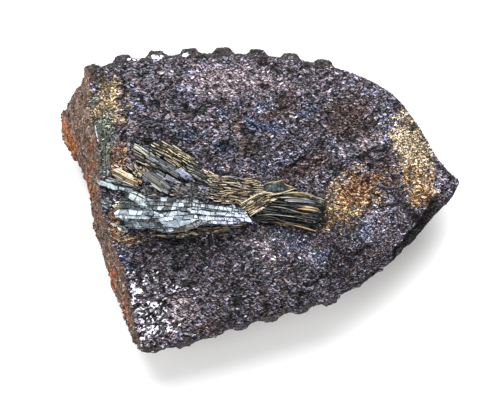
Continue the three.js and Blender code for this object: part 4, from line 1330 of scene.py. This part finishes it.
# The silver-blue band in its strips: outline, angle of the strip, lengths and
# widths of its blocks, lift over the bed at both ends, tones.
bandStrips = [
    ([(-19.5, 0.3), (-19.2, 1.1), (-18.4, 1.1), (-17.1, 0.5), (-16.9, -0.9), (-17.9, -0.8)], -24,
      (1.6, 2.6), (0.8, 1.5), (2.0, 2.1), (0.55, 0.8)),
    ([(-19.4, -0.2), (-17.7, -0.8), (-16.8, -1.1), (-15.7, -1.5), (-17.0, -1.6), (-18.9, -1.4)],
     -14, (0.6, 1.4), (0.4, 0.6), (1.8, 1.9), (0.35, 0.75)),
    ([(-20.7, 0.2), (-19.7, 0.3), (-19.0, -1.3), (-20.2, -1.4)], -30, (0.4, 0.9), (0.3, 0.5),
     (1.2, 1.5), (0.0, 0.5)),
    ([(-17.0, 0.2), (-15.2, 0.0), (-13.6, 0.3), (-12.4, 0.0), (-10.9, -0.2), (-10.1, -0.3),
      (-10.2, -1.5), (-11.3, -1.6), (-12.7, -1.4), (-13.8, -1.5), (-15.2, -1.5), (-16.1, -1.3),
      (-16.9, -0.9)], -3, (0.45, 1.3), (0.45, 0.8), (1.9, 2.0), (0.1, 1.02)),
    ([(-21.6, -1.9), (-20.5, -1.5), (-19.1, -1.4), (-17.7, -1.6), (-15.9, -1.7), (-15.1, -2.0),
      (-15.0, -2.7), (-17.0, -2.9), (-18.6, -2.9), (-20.1, -2.8), (-21.3, -2.7)],
     -2, (0.8, 2.2), (0.6, 1.2), (1.7, 2.1), (0.56, 1.05)),
    ([(-20.0, -3.2), (-18.6, -2.9), (-17.0, -2.9), (-15.0, -2.8), (-14.7, -3.5), (-14.0, -4.0),
      (-15.0, -4.1), (-16.6, -4.3), (-18.2, -4.4), (-19.5, -4.2), (-20.0, -3.8)],
     -3, (0.4, 1.2), (0.4, 0.7), (1.4, 1.8), (0.05, 0.86)),
    ([(-15.0, -2.3), (-13.6, -2.0), (-12.4, -1.7), (-10.9, -2.1), (-9.3, -2.4), (-9.1, -2.9),
      (-9.9, -3.4), (-11.3, -3.9), (-12.4, -4.2), (-13.6, -4.0), (-14.7, -3.4)],
     4, (0.9, 2.2), (0.6, 1.3), (2.1, 2.4), (0.66, 1.0)),
    ([(-14.1, -4.0), (-12.4, -4.3), (-11.3, -3.9), (-9.8, -3.4), (-8.1, -2.9), (-7.0, -2.8),
      (-7.0, -3.5), (-9.0, -3.9), (-10.1, -4.4), (-10.9, -4.7), (-12.4, -4.9), (-13.6, -5.1)],
     12, (0.5, 1.3), (0.4, 0.8), (1.6, 2.1), (0.4, 0.9)),
    ([(-10.2, -0.3), (-8.9, -0.2), (-7.6, -0.8), (-5.7, -1.0), (-3.9, -1.0), (-2.6, -1.4),
      (-1.9, -1.9), (-3.6, -1.75), (-5.7, -1.6), (-8.1, -1.5), (-10.2, -1.4)],
     -8, (0.4, 1.1), (0.4, 0.7), (2.1, 2.3), (0.5, 0.98)),
    ([(-10.2, -1.6), (-8.5, -1.65), (-5.7, -1.8), (-3.6, -1.9), (-1.9, -2.1), (-1.4, -2.8),
      (-1.0, -3.4), (-2.6, -3.0), (-3.9, -2.6), (-5.9, -2.5), (-7.6, -2.3), (-10.0, -2.2)],
     -5, (0.9, 2.6), (0.4, 0.7), (2.4, 2.6), (0.84, 1.1)),
    ([(-8.8, -2.5), (-7.6, -2.45), (-5.9, -2.65), (-3.9, -2.7), (-2.6, -3.1), (-1.2, -3.45),
      (-3.2, -3.5), (-5.1, -3.6), (-7.0, -3.6), (-8.8, -3.3)],
     -3, (0.5, 1.5), (0.4, 0.7), (2.1, 2.3), (0.6, 1.0)),
    ([(-22.0, -0.9), (-21.6, -0.3), (-20.9, -0.2), (-20.8, -1.1), (-21.5, -1.4)], 10, (0.5, 0.9),
     (0.5, 0.9), (1.2, 1.3), (0.6, 0.85)),
    ([(-22.3, -3.5), (-21.7, -3.3), (-21.2, -4.0), (-21.9, -4.0)], -10, (0.7, 1.2),
     (0.5, 0.9), (0.9, 0.9), (0.6, 0.8)),
    ([(-21.3, -4.1), (-20.4, -4.0), (-19.5, -4.4), (-19.8, -4.9), (-21.0, -4.7)],
     -20, (0.5, 1.0), (0.4, 0.7), (0.8, 0.9), (0.5, 0.8)),
]


def stripCells(outline, angle, lengths, widths, lift, tones):
    # a strip a little wider than its outline, its blocks deep enough to reach the rock
    middleX, middleY = (sum(p[k] for p in outline) / len(outline) for k in (0, 1))
    wider = [(mix(middleX, x, 1.03), mix(middleY, y, 1.06)) for x, y in outline]
    return (wider, angle, lengths, widths, lift, lift[1], [tone - 0.08 for tone in tones],
            dict(gap=0.12, uneven=0.15, tilt=8.0, skew=34.0))


silverBlocks = {
    "seed": 41,
    "cells": [(beds["band"], -3, (0.5, 1.6), (0.4, 0.9), (1.45, 1.95), 1.9, (-0.2, 0.46),
               dict(gap=0.1, uneven=0.13, tilt=6.0, skew=34.0))]
             + [stripCells(*strip) for strip in bandStrips],
    "rows": [([(-23.6, 0.0), (-22.3, -0.1), (-21.9, -0.9), (-22.6, -1.5), (-23.5, -0.9)], -32, 0.22,
              (0.5, 0.7), (0.6, 1.8), (0.05, 0.8), dict(depth=0.5, yaw=6.0))],
    "stains": [((-21.3, -0.8), (0.9, 0.8), 0, (206, 204, 172), 0.8, 0.3),
               ((-21.2, -4.2), (1.4, 0.7), 10, (190, 186, 164), 0.7, 0.4),
               ((-18.4, 0.6), (1.6, 1.0), 20, (196, 206, 198), 0.6, 0.6),
               ((-14.6, -0.8), (1.5, 0.5), 0, (126, 128, 108), 0.4, 0.8),
               ((-10.8, -0.6), (1.0, 0.4), 0, (150, 148, 134), 0.4, 0.8),
               ((-5.0, -3.0), (4.0, 0.6), 5, (190, 190, 214), 0.5, 0.8),
               ((-10.6, -4.1), (2.6, 0.7), -12, (146, 142, 134), 0.6, 0.9)],
    "finish": ("silverCrystal", silverStops, 2.4, 1.25, 0.32),
    "look": dict(crackDepth=0.95, wide=0.085, blotch=0.55),
    "slot": "silver_crystal",
}
growCrystals("silver_blocks", silverBlocks, "silver_band")

bandLip = {
    "seed": 42,
    "rows": [(beds["lip"], 2, 0.4, (0.3, 0.5), (1.2, 2.6), (0.0, 0.25), dict(depth=0.7)),
             (beds["lip"], 2, 0.22, (0.5, 0.8), (0.5, 1.8), (0.0, 0.8),
              dict(depth=0.4, yaw=8.0, density=0.8, ragged=0.5, sway=0.25))],
    "stains": [((-6.0, -4.4), (2.6, 0.5), 0, (146, 102, 66), 0.6, 0.8),
               ((-12.6, -5.3), (2.4, 0.4), 0, (186, 170, 134), 0.5, 0.7)],
    "finish": ("bandLip", brownStops, 8.0, 0.7, 0.45),
    "look": {},
    "slot": "brown_crystal",
}
growCrystals("band_lip", bandLip)

paleChip = {
    "seed": 51,
    "cells": [([(-24.0, 2.4), (-23.6, 2.8), (-22.4, 2.5), (-21.2, 1.9), (-21.3, 1.4), (-23.8, 2.0)],
               -18, (2.6, 3.6), (1.2, 1.6), (0.7, 0.8), 0.9, (0.62, 0.72), {}),
              ([(-20.9, 2.0), (-19.4, 1.6), (-19.3, 1.1), (-20.9, 1.5)], -12, (0.3, 0.6),
               (0.4, 0.7), (0.7, 0.8), 0.7, (0.3, 0.95), {})],
    "rows": [(beds["greyLaths"], -13, 0.24, (0.55, 0.6), (0.8, 2.6), (0.0, 0.75),
              dict(depth=0.6, yaw=4.0))],
    "stains": [((-22.6, 2.1), (1.8, 0.9), 18, (160, 174, 172), 0.7, 0.3)],
    "finish": ("paleCrystal", silverStops, 6.0, 0.8, 0.34),
    "look": dict(crackDepth=0.6),
    "slot": "pale_crystal",
}
growCrystals("pale_chip", paleChip, "pale_sliver")

brownSheaf, goldFan = beds["brownSheaf"], beds["goldFan"]
brownLaths = {
    "seed": 61,
    "rows": [
        (brownSheaf, -8, 0.55, (0.5, 0.6), (1.4, 3.0), (0.0, 0.12),
         dict(depth=1.2, crest=0.2, ragged=0.5)),
        (brownSheaf, -9, 0.19, (0.8, 0.85), (0.8, 2.6), (-0.25, 0.92),
         dict(width=0.84, depth=0.45, uneven=0.12, yaw=4, crest=0.25, ragged=0.6, sway=0.35,
              bend=0.06, roll=22, tips=(0.2, 0.6))),
        (brownSheaf, -5, 0.32, (0.95, 1.0), (0.4, 1.4), (0.5, 1.0),
         dict(width=0.38, depth=0.3, uneven=0.1, yaw=14, crest=0.25, density=0.5, ragged=0.6,
              sway=0.5, bend=0.1, roll=24, tips=(0.1, 0.4))),
        ([(-8.6, 4.4), (-8.2, 4.7), (-6.0, 3.6), (-5.4, 2.9), (-7.0, 3.0)], -28, 0.22, (1.0, 1.1),
         (0.6, 1.8), (0.3, 0.95), dict(depth=0.4, yaw=6, tips=(0.1, 0.4))),
        (goldFan, 27, 0.4, (0.9, 0.8), (1.0, 2.6), (0.1, 0.4), dict(depth=1.0, ragged=0.1)),
        (goldFan, 30, 0.17, (1.2, 0.95), (0.5, 1.8), (0.0, 0.95),
         dict(width=0.85, depth=0.4, yaw=8, ragged=0.3, sway=0.3, bend=0.08, roll=24,
              tips=(0.1, 0.5)))],
    "strands": [
        ([(-1.3, -2.5), (-0.2, -1.7), (0.9, -1.05), (1.9, -0.3), (2.8, 0.35)], 0.24, 1.35, 0.95,
         {}),
        ([(-2.9, -0.8), (-1.6, 0.0), (0.2, 0.9), (1.6, 1.0), (2.6, 0.8)], 0.24, 1.35, 0.9, {}),
        ([(1.6, 0.7), (3.0, 0.9), (4.2, 1.25), (5.5, 1.7)], 0.24, 1.35, 0.92, {})],
    "stains": [((0.0, -0.4), (2.4, 1.0), -32, (182, 154, 104), 0.55, 0.8),
               ((0.4, -0.2), (1.0, 0.4), -32, (120, 116, 112), 0.7, 0.7),
               ((-3.3, 3.3), (1.3, 0.35), 5, (122, 126, 136), 0.75, 0.6),
               ((-3.2, 2.2), (1.6, 0.35), 0, (134, 134, 134), 0.7, 0.6),
               ((-1.4, 3.0), (1.2, 0.6), 20, (192, 170, 142), 0.6, 0.7),
               ((-4.0, 0.8), (2.4, 1.0), 0, (116, 90, 56), 0.5, 0.9),
               ((3.6, 1.1), (2.2, 0.4), -18, (150, 136, 92), 0.6, 0.5)],
    "finish": ("brownCrystal", brownStops, 8.0, 0.8, 0.4),
    "look": dict(crackDepth=0.7, blotch=0.6),
    "slot": "brown_crystal",
}
growCrystals("brown_laths", brownLaths, "brown_sheaf")

tealLens = {
    "seed": 62,
    "cells": [(beds["tealLens"], 4, (0.4, 0.9), (0.3, 0.6), (0.6, 0.6), 0.9, (0.0, 0.6),
               dict(tilt=12.0, uneven=0.14))],
    "strands": [([(0.6, 2.1), (1.5, 2.55), (2.6, 2.7), (3.8, 2.95)], 0.18, 0.7, 0.85, {}),
                ([(3.7, 2.5), (4.3, 2.1), (5.3, 1.8)], 0.16, 0.7, 0.85, {})],
    "stains": [((2.4, 2.75), (2.0, 0.3), -6, (164, 150, 108), 0.8, 0.4),
               ((4.6, 2.0), (0.8, 0.5), 0, (156, 148, 100), 0.8, 0.4)],
    "finish": ("tealLens", tealStops, 6.0, 1.8, 0.35),
    "look": dict(crackDepth=0.5, blotch=0.9),
    "slot": "brown_crystal",
}
growCrystals("teal_lens", tealLens)

darkLaths = {
    "seed": 71,
    "rows": [
        (beds["rightSheaf"], -6, 0.75, (0.7, 1.0), (3.0, 6.0), (0.0, 0.2),
         dict(depth=1.9, crest=0.4, ragged=0.1)),
        (beds["rightSheaf"], -8, 0.28, (1.15, 1.45), (1.6, 4.6), (-0.2, 0.44),
         dict(width=0.9, depth=0.6, uneven=0.1, crest=0.4, yaw=2.5, ragged=0.3, sway=0.3,
              bend=0.04, roll=20)),
        ([(6.2, -2.2), (8.4, -2.0), (9.7, -2.0), (9.3, -3.2), (8.2, -3.9), (6.8, -3.4)], -14, 0.24,
         (1.65, 1.5), (0.3, 1.0), (0.45, 0.88),
         dict(width=0.6, depth=0.3, uneven=0.1, yaw=20, density=0.75, roll=24))],
    "strands": [
        ([(3.7, 0.9), (5.2, 1.05), (6.8, 0.95), (8.2, 0.5), (9.0, 0.1)], 0.3, 1.5, 0.9, {}),
        ([(3.7, 0.55), (5.5, 0.7), (7.0, 0.4), (8.0, 0.05)], 0.5, 1.55, 0.55, {}),
        ([(2.8, 0.3), (4.6, 0.3), (6.4, 0.17), (8.2, -0.25)], 0.24, 1.75, 0.86, {}),
        ([(3.9, -0.15), (5.3, -0.1), (7.0, -0.27), (8.5, -0.6)], 0.6, 1.7, 0.8, {}),
        ([(4.4, -0.3), (5.6, -0.28), (7.2, -0.45)], 0.2, 1.85, 0.98, {}),
        ([(4.2, -0.75), (6.4, -0.8), (8.3, -0.85)], 0.42, 1.7, 0.35, {}),
        ([(5.0, -0.95), (7.0, -1.05), (8.9, -1.35)], 0.3, 1.85, 0.93, {}),
        ([(5.8, -1.35), (7.6, -1.5), (9.2, -1.8)], 0.26, 1.8, 0.88, {}),
        ([(7.6, 0.45), (8.8, 0.25), (9.8, -0.1)], 0.26, 1.45, 0.92, {}),
        ([(7.9, 0.1), (9.0, -0.1), (9.9, -0.55)], 0.22, 1.5, 0.86, {}),
        ([(8.2, -0.2), (9.1, -0.4), (9.8, -0.9)], 0.24, 1.5, 0.9, {}),
        ([(-0.5, -2.1), (0.9, -1.15), (1.7, -0.45), (2.9, 0.25)], 0.26, 1.4, 0.9, {}),
        ([(1.6, -1.0), (3.4, -1.2), (5.2, -1.7), (6.8, -2.1), (8.3, -2.25)], 0.2, 1.8, 0.86, {}),
        ([(2.3, -0.7), (4.1, -0.85), (5.7, -1.2)], 0.2, 1.75, 0.8, {}),
        ([(-0.3, -2.35), (1.7, -2.2), (3.4, -2.35), (5.2, -2.55), (6.5, -2.85)], 0.18, 1.75, 0.86,
         {}),
        ([(0.0, -2.9), (1.2, -2.95), (2.4, -3.05)], 0.12, 1.6, 0.7, {}),
        ([(3.0, -1.75), (4.6, -1.95), (6.2, -2.4)], 0.16, 1.75, 0.7, {}),
        ([(3.0, -3.6), (4.6, -3.7), (6.4, -4.1), (8.6, -4.75)], 0.26, 1.1, 0.97, {})],
    "stains": [((6.2, -0.25), (2.3, 0.34), 4, (106, 108, 122), 0.8, 0.3),
               ((9.3, -0.3), (0.7, 0.7), 6, (150, 150, 136), 0.7, 0.7),
               ((7.4, -1.3), (2.0, 0.4), 8, (178, 150, 100), 0.7, 0.7),
               ((8.4, -2.5), (1.4, 0.9), 0, (84, 94, 88), 0.45, 0.8),
               ((6.0, 0.95), (3.0, 0.3), 8, (160, 144, 106), 0.7, 0.5),
               ((5.4, -4.0), (3.2, 0.4), 11, (170, 140, 88), 0.8, 0.5)],
    "finish": ("darkCrystal", darkStops, 7.0, 0.5, 0.32),
    "look": dict(crackDepth=0.5, shine=0.3),
    "slot": "dark_crystal",
}
growCrystals("dark_laths", darkLaths, "right_sheaf")

edgeLaths = {
    "seed": 81,
    "rows": [([(-24.5, 11.4), (-23.0, 12.0), (-21.8, 10.6), (-22.0, 6.0), (-22.3, 3.6),
               (-23.6, 3.4), (-23.9, 6.4), (-24.1, 9.8)], -87, 0.3, (0.12, 0.12), (0.8, 2.6),
              (0.0, 0.8), dict(depth=0.5, yaw=6.0, density=0.36, uneven=0.08)),
             ([(-24.6, 11.2), (-24.45, 11.2), (-24.0, 8.5), (-24.15, 8.5)], -80, 0.16, (0.35, 0.35),
              (1.2, 3.0), (0.9, 1.0), dict(depth=0.4, ragged=0.1))],
    "stains": [((-24.4, 9.9), (0.3, 1.5), -10, (180, 190, 210), 0.9, 0.3),
               ((-23.3, 6.8), (0.3, 3.0), -4, (176, 160, 120), 0.5, 0.8)],
    "finish": ("greenCrystal", greenStops, 8.0, 0.8, 0.45),
    "look": {},
    "slot": "green_crystal",
}
growCrystals("edge_laths", edgeLaths, "edge_blades")
print("crystals made")


stage = {
    "floorSize": 1.2,
    "floorTone": 0.9,
    "skyTone": 0.75,
    "skyPower": 0.78,
    "keyPower": 4.5,
    "keySize": 0.36,
    "keyFrom": (-0.04, 0.31, 0.38),
    "fillPower": 1.2,
    "fillSize": 0.3,
    "fillFrom": (-0.25, -0.15, 0.45),
    "lightAim": (0, 0, 0.01),
}
camera = {
    "lens": 400.0,
    "sensor": 36.0,
    "frameWidth": 0.075,  # metres across the view at the rim
    "aim": (-0.0016, 0.0, 0.012),
    "clipStart": 0.01,
}


def grey(tone):
    return tone, tone, tone, 1


def makeFloor():
    bm = bmesh.new()
    bmesh.ops.create_grid(bm, x_segments=1, y_segments=1, size=stage["floorSize"] / 2)
    floor = meshObject("floor", bm)
    material, _, shader = startMaterial("paleFloor", roughness=0.9)
    shader.inputs["Base Color"].default_value = grey(stage["floorTone"])
    floor.data.materials.append(material)


def makeLight(name):
    light = bpy.data.lights.new(name, "AREA")
    light.energy = stage[name + "Power"]
    light.size = stage[name + "Size"]
    lamp = linkObject(name, light)
    lamp.location = stage[name + "From"]
    aim = Vector(stage["lightAim"]) - lamp.location
    lamp.rotation_euler = aim.to_track_quat("-Z", "Y").to_euler()


def makeWorld():
    world = bpy.data.worlds.new("studio")
    world.use_nodes = True
    sky = world.node_tree.nodes["Background"]
    sky.inputs[0].default_value = grey(stage["skyTone"])
    sky.inputs[1].default_value = stage["skyPower"]
    bpy.context.scene.world = world


def makeCamera():
    data = bpy.data.cameras.new("camera")
    data.lens = camera["lens"]
    data.sensor_width = camera["sensor"]
    data.clip_start = camera["clipStart"]
    eye = linkObject("camera", data)
    away = camera["frameWidth"] * camera["lens"] / camera["sensor"]
    eye.location = Vector(camera["aim"]) + Vector((0, 0, away))
    bpy.context.scene.camera = eye


makeFloor()
makeLight("key")
makeLight("fill")
makeWorld()
makeCamera()
bpy.context.scene.view_settings.view_transform = "Standard"
print("stage set")
